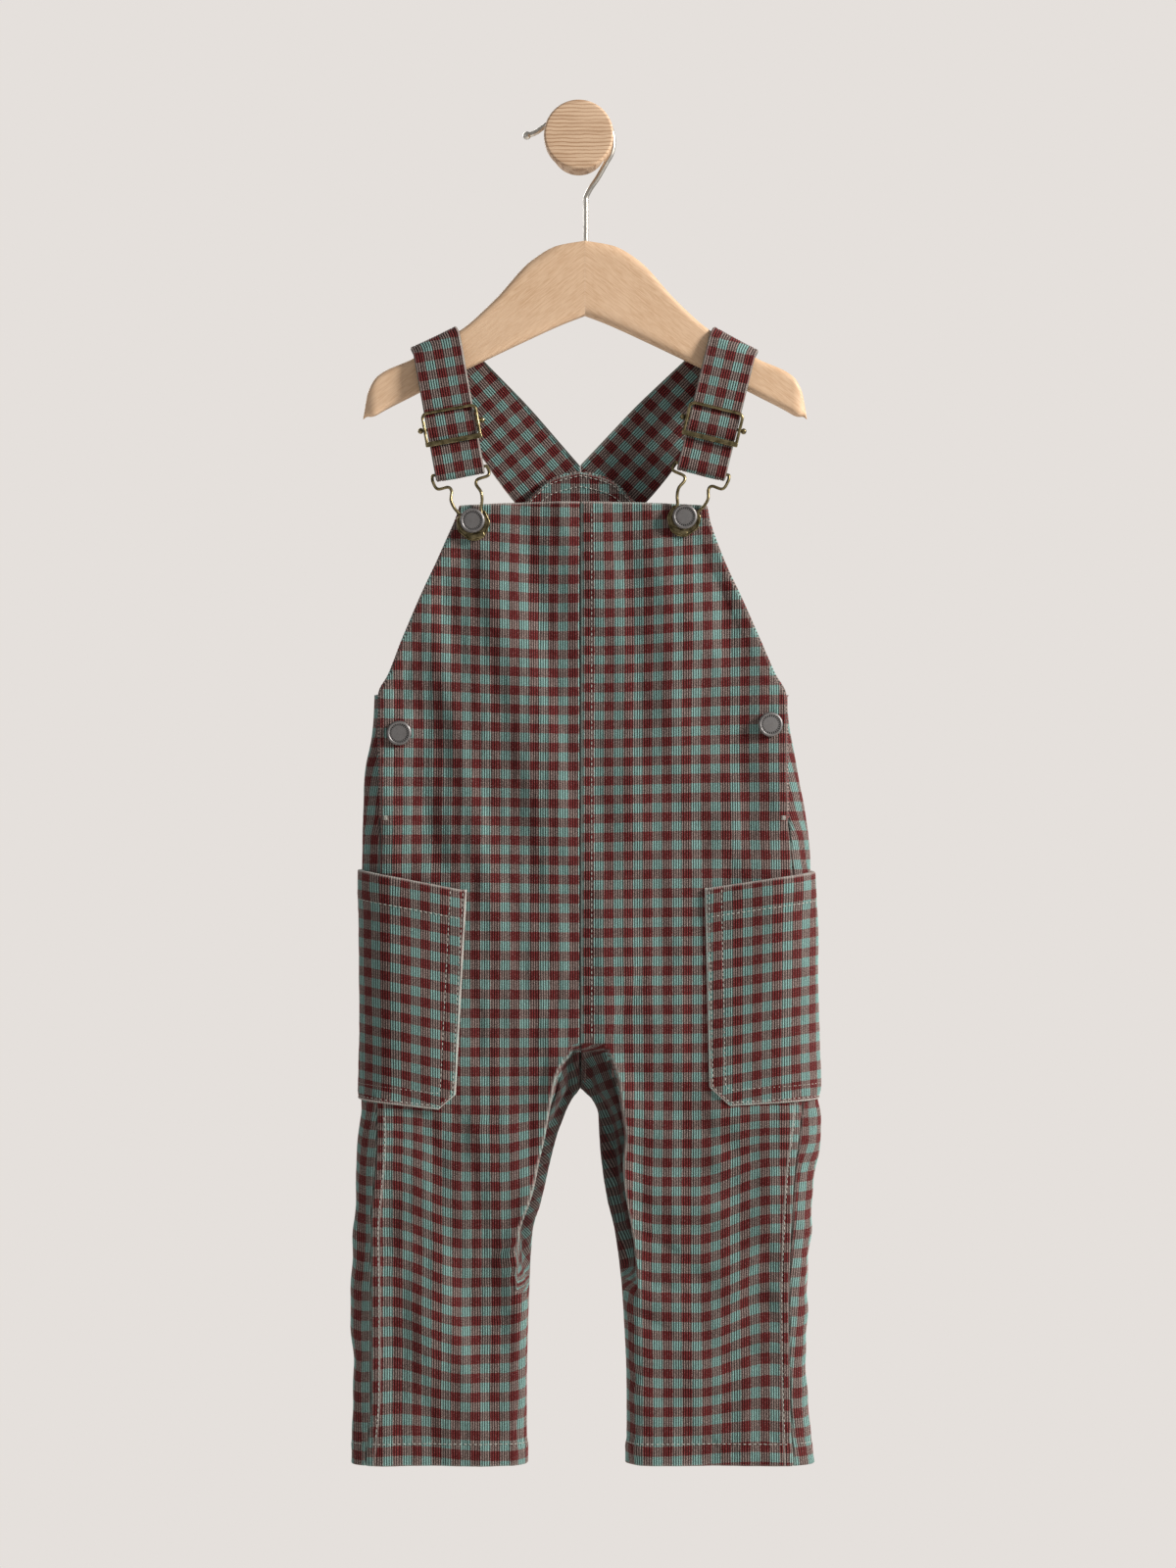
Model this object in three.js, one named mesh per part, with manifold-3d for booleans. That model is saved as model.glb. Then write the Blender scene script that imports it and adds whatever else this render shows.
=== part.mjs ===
// Toddler's bib overalls in checked needlecord, hung by their straps over a wooden hanger
// whose wire hook hangs on a round wooden wall peg.
// Millimetres. x runs to the viewer's right, y into the wall, z up.
// The origin is the middle of the peg's flat back, on the wall. Left and right are the viewer's.
// Everything but the peg is drawn about the hanger's middle, a little to the right of the peg's.
// A drop is a distance below the origin, a depth is a distance in front of the wall,
// and a reach is a distance outwards from the centre seam.

import * as THREE from 'three';
import Module from 'manifold-3d';
import { mergeVertices } from 'three/addons/utils/BufferGeometryUtils.js';

// Cloth
const PANEL_CLOTH = 1.8;
const POCKET_CLOTH = 1.8;
const STRAP_CLOTH = 2.4;
const SEAM_GAP = 0.3;
const SEAM_X = -3;

// Body of the garment
const BIB_TOP = 231.5;
const BIB_CORNER_FALL = 2.5;
const OPENING_TOP = 353;
const LEVEL_TOP = 362;
const HEM = 843;
const LEVEL_STEP = 27;
const FLAT_COLUMNS = 6;
const EDGE_COLUMNS = 3;
const WRAP_COLUMNS = 2;
const TURN_COLUMNS = 4;
const YOKE_ROWS = 6;
const SHOULDER_SHARE = 0.85;
const COLUMN_CROWDING = 1.5;

// The front panel's outer edge and the whole outline, as reaches on each side.
// flare lifts the front panel off the back panel along the side opening.
const OUTLINE = [
  { drop: 231, edgeL: 76, edgeR: 80, outL: 100, outR: 104, flare: 15 },
  { drop: 243, edgeL: 79.5, edgeR: 82, outL: 104, outR: 107, flare: 15 },
  { drop: 268, edgeL: 90, edgeR: 90.5, outL: 111, outR: 113, flare: 15 },
  { drop: 293, edgeL: 101.5, edgeR: 102, outL: 118, outR: 120, flare: 15 },
  { drop: 318, edgeL: 112, edgeR: 113, outL: 124, outR: 126, flare: 17 },
  { drop: 342, edgeL: 121.5, edgeR: 123.5, outL: 128.5, outR: 130, flare: 19 },
  { drop: 354, edgeL: 127.5, edgeR: 130, outL: 130, outR: 131.5, flare: 20 },
  { drop: 380, edgeL: 127.5, edgeR: 131, outL: 132, outR: 135, flare: 20 },
  { drop: 404, edgeL: 127, edgeR: 131, outL: 135.5, outR: 138.5, flare: 17 },
  { drop: 425, edgeL: 126.5, edgeR: 131.5, outL: 137, outR: 141.5, flare: 11 },
  { drop: 432, edgeL: 126.5, edgeR: 131.5, outL: 137.5, outR: 142.5, flare: 8 },
  { drop: 446, edgeL: 126.5, edgeR: 133, outL: 138, outR: 144.5, flare: 0 },
  { drop: 466, edgeL: 127, edgeR: 134.5, outL: 138.5, outR: 146, flare: 0 },
  { drop: 516, edgeL: 128, edgeR: 138, outL: 139, outR: 150, flare: 0 },
  { drop: 605, edgeL: 129, edgeR: 141, outL: 139, outR: 150, flare: 0 },
  { drop: 634, edgeL: 128.7, edgeR: 138.8, outL: 141.2, outR: 150.7, flare: 0 },
  { drop: 654, edgeL: 129.8, edgeR: 136.3, outL: 142.5, outR: 148.3, flare: 0 },
  { drop: 696, edgeL: 133, edgeR: 133.8, outL: 142.6, outR: 146.4, flare: 0 },
  { drop: 740, edgeL: 132.5, edgeR: 132.5, outL: 143.8, outR: 144.2, flare: 0 },
  { drop: 797, edgeL: 132.6, edgeR: 133.2, outL: 143.8, outR: 142.5, flare: 0 },
  { drop: 843, edgeL: 136, edgeR: 135, outL: 143.8, outR: 144.8, flare: 0 },
];

// The leg's inner edge, the line where its front starts to turn under, and how far it has turned.
const CROTCH = [
  { drop: 560, innerL: 0, innerR: 0, foldL: 5, foldR: 10, turnFront: 0, turnBack: 0 },
  { drop: 576, innerL: 0, innerR: 0, foldL: 6, foldR: 15, turnFront: 0, turnBack: 0.15 },
  { drop: 583, innerL: 0, innerR: 0, foldL: 8.5, foldR: 20, turnFront: 0.2, turnBack: 0.4 },
  { drop: 590, innerL: 0, innerR: 0, foldL: 13.5, foldR: 22.5, turnFront: 0.48, turnBack: 0.65 },
  { drop: 598, innerL: 0, innerR: 0, foldL: 16.5, foldR: 25, turnFront: 0.76, turnBack: 0.85 },
  { drop: 605, innerL: 0, innerR: 0, foldL: 18, foldR: 26, turnFront: 1, turnBack: 1 },
  { drop: 608, innerL: 3, innerR: 4.5, foldL: 18.5, foldR: 26.5, turnFront: 1, turnBack: 1 },
  { drop: 613, innerL: 6.4, innerR: 8.6, foldL: 19.5, foldR: 27, turnFront: 1, turnBack: 1 },
  { drop: 621, innerL: 10, innerR: 11.7, foldL: 20.8, foldR: 28, turnFront: 1, turnBack: 1 },
  { drop: 634, innerL: 14.9, innerR: 12.2, foldL: 23, foldR: 29.7, turnFront: 1, turnBack: 1 },
  { drop: 654, innerL: 20, innerR: 14, foldL: 27.8, foldR: 28, turnFront: 1, turnBack: 1 },
  { drop: 676, innerL: 25, innerR: 17.5, foldL: 33, foldR: 30, turnFront: 1, turnBack: 1 },
  { drop: 696, innerL: 30.6, innerR: 22.3, foldL: 40, foldR: 34, turnFront: 1, turnBack: 1 },
  { drop: 740, innerL: 33, innerR: 27.3, foldL: 42, foldR: 38, turnFront: 1, turnBack: 1 },
  { drop: 797, innerL: 34.3, innerR: 29.7, foldL: 44, foldR: 40, turnFront: 1, turnBack: 1 },
  { drop: 843, innerL: 34.3, innerR: 29.7, foldL: 44, foldR: 40, turnFront: 1, turnBack: 1 },
];

// Depths of the front and back faces, the width of the rounded sides, and at the side opening
// how far the back panel runs under the front one and how far inside it lies.
const DEPTHS = [
  { drop: 211, front: 42.5, back: 22.6, round: 30, lap: 14, inset: 3.4 },
  { drop: 231, front: 43, back: 22.2, round: 30, lap: 14, inset: 3.4 },
  { drop: 268, front: 44.5, back: 21, round: 30, lap: 14, inset: 3.4 },
  { drop: 293, front: 46, back: 20, round: 30, lap: 14, inset: 3.4 },
  { drop: 354, front: 50, back: 17, round: 30, lap: 14, inset: 3.4 },
  { drop: 425, front: 52, back: 15.5, round: 30, lap: 14, inset: 3.4 },
  { drop: 432, front: 52, back: 15.3, round: 30, lap: -0.6, inset: 3.2 },
  { drop: 446, front: 52, back: 15, round: 30, lap: 0, inset: 0 },
  { drop: 560, front: 52.5, back: 15, round: 29, lap: 0, inset: 0 },
  { drop: 600, front: 52, back: 15.5, round: 26, lap: 0, inset: 0 },
  { drop: 652, front: 49.5, back: 17, round: 20, lap: 0, inset: 0 },
  { drop: 740, front: 48, back: 18, round: 17, lap: 0, inset: 0 },
  { drop: 843, front: 47, back: 18, round: 16, lap: 0, inset: 0 },
];

// The back panel's top edge, from its rounded peak at the centre seam down the armhole.
const ARMHOLE = [
  { reach: 0, drop: 211 },
  { reach: 18, drop: 216 },
  { reach: 33, drop: 229 },
  { reach: 45, drop: 243 },
  { reach: 62, drop: 262 },
  { reach: 85, drop: 291 },
  { reach: 105, drop: 322 },
  { reach: 118, drop: 344 },
  { reach: 126, drop: OPENING_TOP },
];

// The largest soft folds. Each is a ridge, or a trough where its height is below nought.
// run is half its length, spread half its width, lean its angle from upright in degrees.
const FOLDS = [
  { face: 'front', side: 'L', reach: 62, drop: 330, run: 75, spread: 17, lean: 4, height: 2.2 },
  { face: 'front', side: 'L', reach: 98, drop: 400, run: 60, spread: 13, lean: -6, height: -2.0 },
  { face: 'front', side: 'L', reach: 34, drop: 470, run: 90, spread: 16, lean: 3, height: -1.6 },
  { face: 'front', side: 'R', reach: 66, drop: 345, run: 80, spread: 18, lean: -3, height: 2.0 },
  { face: 'front', side: 'R', reach: 103, drop: 415, run: 55, spread: 13, lean: 8, height: -2.2 },
  { face: 'front', side: 'R', reach: 38, drop: 500, run: 85, spread: 17, lean: -4, height: -1.5 },
  { face: 'front', side: 'L', reach: 58, drop: 618, run: 48, spread: 12, lean: 62, height: -2.2 },
  { face: 'front', side: 'R', reach: 60, drop: 612, run: 46, spread: 12, lean: 58, height: -2.0 },
  { face: 'front', side: 'L', reach: 66, drop: 668, run: 44, spread: 11, lean: 78, height: 1.8 },
  { face: 'front', side: 'R', reach: 58, drop: 676, run: 42, spread: 12, lean: 74, height: 2.0 },
  { face: 'front', side: 'L', reach: 92, drop: 735, run: 60, spread: 15, lean: 12, height: 1.8 },
  { face: 'front', side: 'R', reach: 88, drop: 748, run: 62, spread: 15, lean: -10, height: 1.9 },
  { face: 'back', side: 'L', reach: 55, drop: 400, run: 90, spread: 18, lean: 5, height: -2.2 },
  { face: 'back', side: 'R', reach: 52, drop: 420, run: 85, spread: 19, lean: -4, height: -2.0 },
  { face: 'back', side: 'L', reach: 60, drop: 622, run: 46, spread: 13, lean: 60, height: -2.2 },
  { face: 'back', side: 'R', reach: 62, drop: 628, run: 46, spread: 13, lean: 63, height: -2.0 },
  { face: 'back', side: 'L', reach: 86, drop: 740, run: 60, spread: 16, lean: -8, height: 1.8 },
  { face: 'back', side: 'R', reach: 84, drop: 730, run: 60, spread: 16, lean: 9, height: 1.8 },
];

// Patch pockets: slanted tops, and lower inside corners cut off
const POCKET_GAP = 0.5;
const POCKET_ROWS = 7;
const POCKET_GAPE = 3;
const POCKET_GAPE_FALL = 26;
const POCKETS = {
  L: { innerTop: 72, innerFoot: 79, topInner: 477.5, topSide: 465, foot: 618.5, footSide: 611 },
  R: { innerTop: 78.6, innerFoot: 81.5, topInner: 476.5, topSide: 466, foot: 615.5, footSide: 611 },
};
const POCKET_CORNER_WIDTH = 14.7;
const POCKET_CORNER_HEIGHT = 14.5;
const POCKET_BACK_SHIFT = 10;
const POCKET_BACK_GAPE = 0.4;
const POCKET_GAPE_ROUNDNESS = 0.6;
const POCKET_ROW_CROWDING = 1.2;

// Hanger, its wire hook and the peg
const HANGER_DEPTH = 32;
const HANGER_THICKNESS = 12;
const HANGER_EDGE = 3;
const HANGER_BORE = 2.1;
const HANGER_BORE_LENGTH = 16;
const HANGER_TOP = [
  { reach: 0, drop: 64.7 },
  { reach: 17.5, drop: 67.9 },
  { reach: 34.3, drop: 77.5 },
  { reach: 56.8, drop: 101.6 },
  { reach: 77.4, drop: 120.3 },
  { reach: 110.5, drop: 140.3 },
  { reach: 129.3, drop: 148.9 },
  { reach: 138.2, drop: 158.5 },
  { reach: 141.4, drop: 174 },
];
const HANGER_UNDER = [
  { reach: 0, drop: 112.2 },
  { reach: 13.1, drop: 117.2 },
  { reach: 40.6, drop: 129.7 },
  { reach: 75.6, drop: 146.5 },
  { reach: 108.7, drop: 162.8 },
  { reach: 137.5, drop: 178.5 },
  { reach: 141.4, drop: 182 },
];
const HANGER_TOP_POINTS = 16;
const HANGER_UNDER_POINTS = 8;
const HANGER_TIP_CROWDING = 1.5;
const HOOK_WIRE = 1.8;
const HOOK_RADIUS = 21.7;
const HOOK_X = -3.7;
const HOOK_STEM_X = 0.6;
const HOOK_STEM_INSET = 1;
const HOOK_BEND = [
  { x: HOOK_STEM_X, drop: 60 },
  { x: HOOK_STEM_X, drop: 41 },
  { x: HOOK_STEM_X, drop: 37 },
  { x: 3.2, drop: 31.5 },
  { x: 8, drop: 24.5 },
];
const HOOK_CROOK_TURNS = [-38, -20, 0, 22, 45, 68, 90, 112, 135];
const HOOK_END = [
  { x: -26, drop: -8.5 },
  { x: -31.5, drop: -4.5 },
  { x: -37, drop: -2.6 },
];
const HOOK_TIP = { radius: 2.6, x: -37.6, drop: -2.5 };
const HOOK_SIDES = 8;
const HOOK_TUBE_STEPS = 44;
const HANGER_X = 4;
const PEG_NECK_RADIUS = 18;
const PEG_NECK_DEPTH = 40;
const PEG_KNOB_RADIUS = 22;
const PEG_DEPTH = 54;
const PEG_EDGE = 1.6;
const PEG_EDGE_BULGE = 0.3;
const PEG_SIDES = 28;

// Straps. ridge points lie on the hanger's upper edge, foot is the fold that holds the bib hook.
const STRAP_FRONT_WIDTH = 31.5;
const STRAP_BACK_WIDTH = 38;
const STRAP_COLUMNS = 3;
const STRAP_SEAT = 0.3;
const STRAP_FOLD = 1;
const STRAPS = {
  L: { nearX: -79, nearDrop: 120.7, farX: -112, farDrop: 136.5, footX: -79.4, footDrop: 213.4 },
  R: { nearX: 79, nearDrop: 120.8, farX: 111, farDrop: 138.2, footX: 74.1, footDrop: 212.1 },
};
const STRAP_BACK_SLACK = 100;
const STRAP_BACK_ROWS = 9;
const STRAP_BACK_START = 0.03;
const STRAP_BACK_FLARE = 18;
const STRAP_TAPER_SHARE = 0.65;
const STRAP_FRONT_PARTS = [0.25, 0.5, 0.75];
const STRAP_TAIL_PARTS = [0.33, 0.66, 1];
const STRAP_RIDGE_TURNS = [0, 30, 60, 90];
const STRAP_FOLD_TURNS = [30, 60, 90, 120, 150, 180];
const STRAP_TAIL_TURNS = [35, 75];
const STRAP_PUFF_SHOULDER = 0.8;
const SHARPEST_CORNER = 0.6;

// Slides, bib hooks and buttons
const FITTING_WIRE = 1.15;
const FITTING_SIDES = 6;
const FOLD_BAR_DEPTH = 41;
const SLIDE_FOOT = 21;
const SLIDE_HEIGHT = 19.8;
const SLIDE_WIDTH = 34.2;
const SLIDE_CORNER = 3;
const SLIDE_STEPS = 26;
const SLIDE_TENSION = 0.12;
const SLIDE_PUFF = 1.4;
const SLIDE_BALL = 1.9;
const SLIDE_BALL_GAP = 0.4;
const SLIDE_BAR_PROUD = 0.2;
const SLIDE_EAR_WIDTH = 1.6;
const SLIDE_EAR_HEIGHT = 1.85;
const SLIDE_LOOSE_WIRE = 1.04;
const SLIDE_BAR_HEIGHT = 3.2;
const SLIDE_BAR_THICKNESS = 1.6;
const HOOK_BAR_HALF = 17.6;
const HOOK_STEPS = 20;
const HOOK_RISE_SHARE = 0.5;
const HOOK_ON_PLATE = 0.7;
const KNUCKLE = 1.17;
// The wire's outline as shares of the bar's half width and of the way down to the button
const BIB_HOOK_OUTLINE = [
  { across: 1, down: -0.02, onBar: true },
  { across: 1.03, down: 0.1, onBar: true },
  { across: 0.93, down: 0.22 },
  { across: 0.55, down: 0.24 },
  { across: 0.46, down: 0.33 },
  { across: 0.56, down: 0.5 },
  { across: 0.52, down: 0.66 },
  { across: 0.4, down: 0.82 },
  { across: 0.36, down: 1.02 },
];
// The plate's corners as shares of its reach from the button
const PLATE_CORNERS = [
  { across: -0.72, down: -0.35 },
  { across: 0.72, down: -0.35 },
  { across: 0.82, down: 0.3 },
  { across: 0.4, down: 0.9 },
  { across: 0, down: 1 },
  { across: -0.4, down: 0.9 },
  { across: -0.82, down: 0.3 },
];
const PLATE_THICKNESS = 1.2;
const PLATE_REACH = 12.4;
const PLATE_HOLE = 4.2;
const PLATE_HOLE_SIDES = 12;
const BUTTON_RADIUS = 7.8;
const BUTTON_CAP = 2.4;
const BUTTON_NECK = 3.4;
// The cap from its underside to its middle: shares of the radius, and heights above the underside
const BUTTON_CAP_PROFILE = [
  { share: 0.94, height: 0 },
  { share: 1, height: 0.6 },
  { share: 1, height: 1.44 },
  { share: 0.93, height: 2.2 },
  { share: 0.84, height: BUTTON_CAP },
  { share: 0.76, height: 2.05 },
  { share: 0, height: 2.25 },
];
const BIB_BUTTON_STAND = 5;
const SIDE_BUTTON_STAND = 1.2;
const BUTTON_SIDES = 16;
const BUTTONS = {
  L: { bibX: -71.3, bibDrop: 243.9, sideReach: 114.5, sideDrop: 378.5 },
  R: { bibX: 63.2, bibDrop: 241.4, sideReach: 120, sideDrop: 373 },
};

const SIDES = [
  { key: 'L', name: 'left', sign: -1 },
  { key: 'R', name: 'right', sign: 1 },
];

// Looks
const finish = (color, roughness, metalness = 0) => ({ color, roughness, metalness });
const CORD = finish(0x5f5350, 0.95);
const BEECH = finish(0xd7b08c, 0.55);
const SATIN_WIRE = finish(0xc9c2b4, 0.3, 1);
const OLD_BRASS = finish(0x7d7150, 0.35, 1);
const GUNMETAL = finish(0x565350, 0.45, 1);

const wasm = await Module();
wasm.setup();
const whole = new THREE.Group();
const hung = new THREE.Group();
hung.position.x = HANGER_X;
whole.add(hung);
const mix = THREE.MathUtils.lerp;
const clamp = THREE.MathUtils.clamp;
const radians = THREE.MathUtils.degToRad;

function add(name, geometry, look, group = hung) {
  const mesh = new THREE.Mesh(geometry, new THREE.MeshStandardMaterial(look));
  mesh.name = name;
  group.add(mesh);
  return mesh;
}

// A smooth line through a table's rows that never swings past them
function read(table, column, at, key = 'drop') {
  const last = table.length - 1;
  if (at <= table[0][key]) return table[0][column];
  if (at >= table[last][key]) return table[last][column];
  let low = 0;
  while (table[low + 1][key] < at) low += 1;
  const span = (k) => table[k + 1][key] - table[k][key];
  const slope = (k) => (table[k + 1][column] - table[k][column]) / span(k);
  const steer = (k) => {
    if (k === 0) return slope(0);
    if (k === last) return slope(last - 1);
    const before = slope(k - 1);
    const after = slope(k);
    return before * after <= 0 ? 0 : (2 * before * after) / (before + after);
  };
  const t = (at - table[low][key]) / span(low);
  const t2 = t * t;
  const t3 = t2 * t;
  return (
    (2 * t3 - 3 * t2 + 1) * table[low][column] +
    (t3 - 2 * t2 + t) * span(low) * steer(low) +
    (3 * t2 - 2 * t3) * table[low + 1][column] +
    (t3 - t2) * span(low) * steer(low + 1)
  );
}

function section(side, drop) {
  const line = (table, column) => read(table, column + side.key, drop);
  const front = read(DEPTHS, 'front', drop);
  const back = read(DEPTHS, 'back', drop);
  return {
    drop,
    inner: line(CROTCH, 'inner'),
    fold: line(CROTCH, 'fold'),
    edge: line(OUTLINE, 'edge'),
    out: line(OUTLINE, 'out'),
    flare: read(OUTLINE, 'flare', drop),
    turnFront: read(CROTCH, 'turnFront', drop),
    turnBack: read(CROTCH, 'turnBack', drop),
    round: read(DEPTHS, 'round', drop),
    lap: read(DEPTHS, 'lap', drop),
    inset: read(DEPTHS, 'inset', drop),
    front,
    back,
    middle: (front + back) / 2,
  };
}

// How far the cloth stands out from its plain face because of the folds
function relief(face, side, reach, drop) {
  let height = 0;
  for (const fold of FOLDS) {
    if (fold.face !== face || fold.side !== side.key) continue;
    const lean = radians(fold.lean);
    const sideways = reach - fold.reach;
    const down = drop - fold.drop;
    const across = (sideways * Math.cos(lean) - down * Math.sin(lean)) / fold.spread;
    const along = (sideways * Math.sin(lean) + down * Math.cos(lean)) / fold.run;
    height += fold.height * Math.exp(-across * across - along * along * along * along);
  }
  return height;
}

// Share of the full depth left at a reach, where the side and the inside leg round away
function roundness(reach, row, out, turn) {
  const side = clamp((reach - (out - row.round)) / row.round, 0, 0.999);
  const inside = clamp((row.fold - reach) / Math.max(row.fold - row.inner, 1), 0, 1);
  return Math.sqrt(1 - side * side) * (1 - turn * (1 - Math.sqrt(1 - inside * inside)));
}

// A point of a face by its reach, with the direction that leads straight out of the cloth
function facePoint(face, side, row, reach) {
  const isFront = face === 'front';
  const turn = isFront ? row.turnFront : row.turnBack;
  const out = isFront ? row.out + row.flare : row.out;
  const level = isFront ? row.front : row.back;
  const half = level - row.middle;
  const share = (at) => roundness(at, row, out, turn);
  const ease = Math.min(1, Math.max(0, share(reach)));
  const seam = isFront ? 1 : -1;
  let depth = row.middle + half * share(reach) + seam * relief(face, side, reach, row.drop) * ease;
  if (turn >= 1 && reach <= row.inner) depth = row.middle + (seam * SEAM_GAP) / 2;
  const step = 0.4;
  const slope = (half * (share(reach + step) - share(reach - step))) / (2 * step);
  let normal = new THREE.Vector2(-slope * seam, 1).normalize();
  if (reach <= row.inner + step) normal = new THREE.Vector2(-turn, 1 - turn + 1e-6).normalize();
  return { reach, depth, normal: new THREE.Vector2(normal.x, normal.y * seam) };
}

// A point of the back panel where it comes round the side, by the angle turned from the front
function wrapPoint(side, row, angle) {
  const isFront = angle < Math.PI / 2;
  const half = isFront ? row.front - row.inset - row.middle : row.middle - row.back;
  const reach = row.out - row.round + row.round * Math.sin(angle);
  const face = isFront ? 'front' : 'back';
  const swell = relief(face, side, reach, row.drop) * Math.abs(Math.cos(angle));
  const depth = row.middle + half * Math.cos(angle) + (isFront ? swell : -swell);
  const normal = new THREE.Vector2(half * Math.sin(angle), row.round * Math.cos(angle)).normalize();
  return { reach, depth, normal };
}

const sideAngle = (row, reach) => Math.asin(clamp((reach - row.out + row.round) / row.round, -1, 1));

function place(side, point, drop, outwards) {
  const reach = point.reach + point.normal.x * outwards;
  const depth = point.depth + point.normal.y * outwards;
  return new THREE.Vector3(SEAM_X + side.sign * (reach + SEAM_GAP / 2), -depth, -drop);
}

// A closed solid from triangles, with its faces pointing out
function closed(corners, triangles) {
  let volume = 0;
  for (const [a, b, c] of triangles) {
    volume += corners[a].dot(new THREE.Vector3().crossVectors(corners[b], corners[c]));
  }
  const index = triangles.flatMap(([a, b, c]) => (volume > 0 ? [a, b, c] : [a, c, b]));
  const geometry = new THREE.BufferGeometry();
  geometry.setAttribute(
    'position',
    new THREE.Float32BufferAttribute(corners.flatMap((p) => [p.x, p.y, p.z]), 3),
  );
  geometry.setIndex(index);
  geometry.computeVertexNormals();
  return geometry;
}

// A wall between two grids of points, closed round its four edges
function wall(outer, inner) {
  const rows = outer.length;
  const columns = outer[0].length;
  const corners = [...outer.flat(), ...inner.flat()];
  const skin = rows * columns;
  const triangles = [];
  const quad = (a, b, c, d) => triangles.push([a, b, c], [a, c, d]);
  const at = (row, column) => row * columns + column;
  for (let row = 0; row < rows - 1; row += 1) {
    for (let column = 0; column < columns - 1; column += 1) {
      const ring = [at(row, column), at(row, column + 1), at(row + 1, column + 1), at(row + 1, column)];
      quad(...ring);
      quad(...ring.map((k) => k + skin).reverse());
    }
  }
  for (let row = 0; row < rows - 1; row += 1) {
    const last = columns - 1;
    quad(at(row, 0), at(row + 1, 0), at(row + 1, 0) + skin, at(row, 0) + skin);
    quad(at(row + 1, last), at(row, last), at(row, last) + skin, at(row + 1, last) + skin);
  }
  for (let column = 0; column < columns - 1; column += 1) {
    const last = rows - 1;
    quad(at(0, column + 1), at(0, column), at(0, column) + skin, at(0, column + 1) + skin);
    quad(at(last, column), at(last, column + 1), at(last, column + 1) + skin, at(last, column) + skin);
  }
  return closed(corners, triangles);
}

function levels(from, to) {
  const marks = [...OUTLINE, ...CROTCH].map((row) => row.drop);
  const kept = [...new Set([from, ...marks.filter((drop) => drop > from && drop < to), to])];
  kept.sort((a, b) => a - b);
  const drops = [kept[0]];
  for (const drop of kept.slice(1)) {
    const start = drops[drops.length - 1];
    const parts = Math.ceil((drop - start) / LEVEL_STEP);
    for (let part = 1; part <= parts; part += 1) drops.push(mix(start, drop, part / parts));
  }
  return drops;
}

const shoulderOf = (row) => Math.min(row.out + row.flare - row.round, row.edge * SHOULDER_SHARE);
const spaced = (count, from, to, power = 1) =>
  Array.from({ length: count + 1 }, (_, k) => mix(from, to, (k / count) ** power));

function frontReaches(row) {
  const shoulder = shoulderOf(row);
  const flat = spaced(FLAT_COLUMNS, row.inner, shoulder, COLUMN_CROWDING);
  return [...flat, ...spaced(EDGE_COLUMNS, shoulder, row.edge - SEAM_GAP / 2).slice(1)];
}

function frontPanel(side) {
  const grid = (outwards) =>
    levels(BIB_TOP, HEM).map((drop) => {
      const row = section(side, drop);
      return frontReaches(row).map((reach) => {
        const fall = drop === BIB_TOP ? BIB_CORNER_FALL * (reach / row.edge) ** 2 : 0;
        return place(side, facePoint('front', side, row, reach), drop + fall, outwards);
      });
    });
  return wall(grid(0), grid(-PANEL_CLOTH));
}

// The back panel's columns in one row, from its edge at the front round the side to the centre seam
function backPoints(side, row) {
  const start = sideAngle(row, row.edge - row.lap + SEAM_GAP / 2);
  const wrap = [
    ...spaced(WRAP_COLUMNS, start, Math.PI / 2),
    ...spaced(TURN_COLUMNS, Math.PI / 2, Math.PI).slice(1),
  ].map((angle) => wrapPoint(side, row, angle));
  const flat = spaced(FLAT_COLUMNS, row.inner, row.out - row.round, COLUMN_CROWDING)
    .reverse()
    .slice(1)
    .map((reach) => facePoint('back', side, row, reach));
  return [...wrap, ...flat];
}

function backPanel(side) {
  const top = section(side, LEVEL_TOP);
  const starts = backPoints(side, top).map((point, column) =>
    column <= WRAP_COLUMNS ? OPENING_TOP : read(ARMHOLE, 'drop', point.reach, 'reach'),
  );
  const yoke = spaced(YOKE_ROWS, 0, 1).slice(0, -1);
  const grid = (outwards) => [
    ...yoke.map((share) =>
      starts.map((start, column) => {
        const drop = mix(start, LEVEL_TOP, share);
        const row = { ...top, drop, back: read(DEPTHS, 'back', drop) };
        return place(side, backPoints(side, row)[column], drop, outwards);
      }),
    ),
    ...levels(LEVEL_TOP, HEM).map((drop) => {
      const row = section(side, drop);
      return backPoints(side, row).map((point) => place(side, point, drop, outwards));
    }),
  ];
  return wall(grid(0), grid(-PANEL_CLOTH));
}

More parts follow.
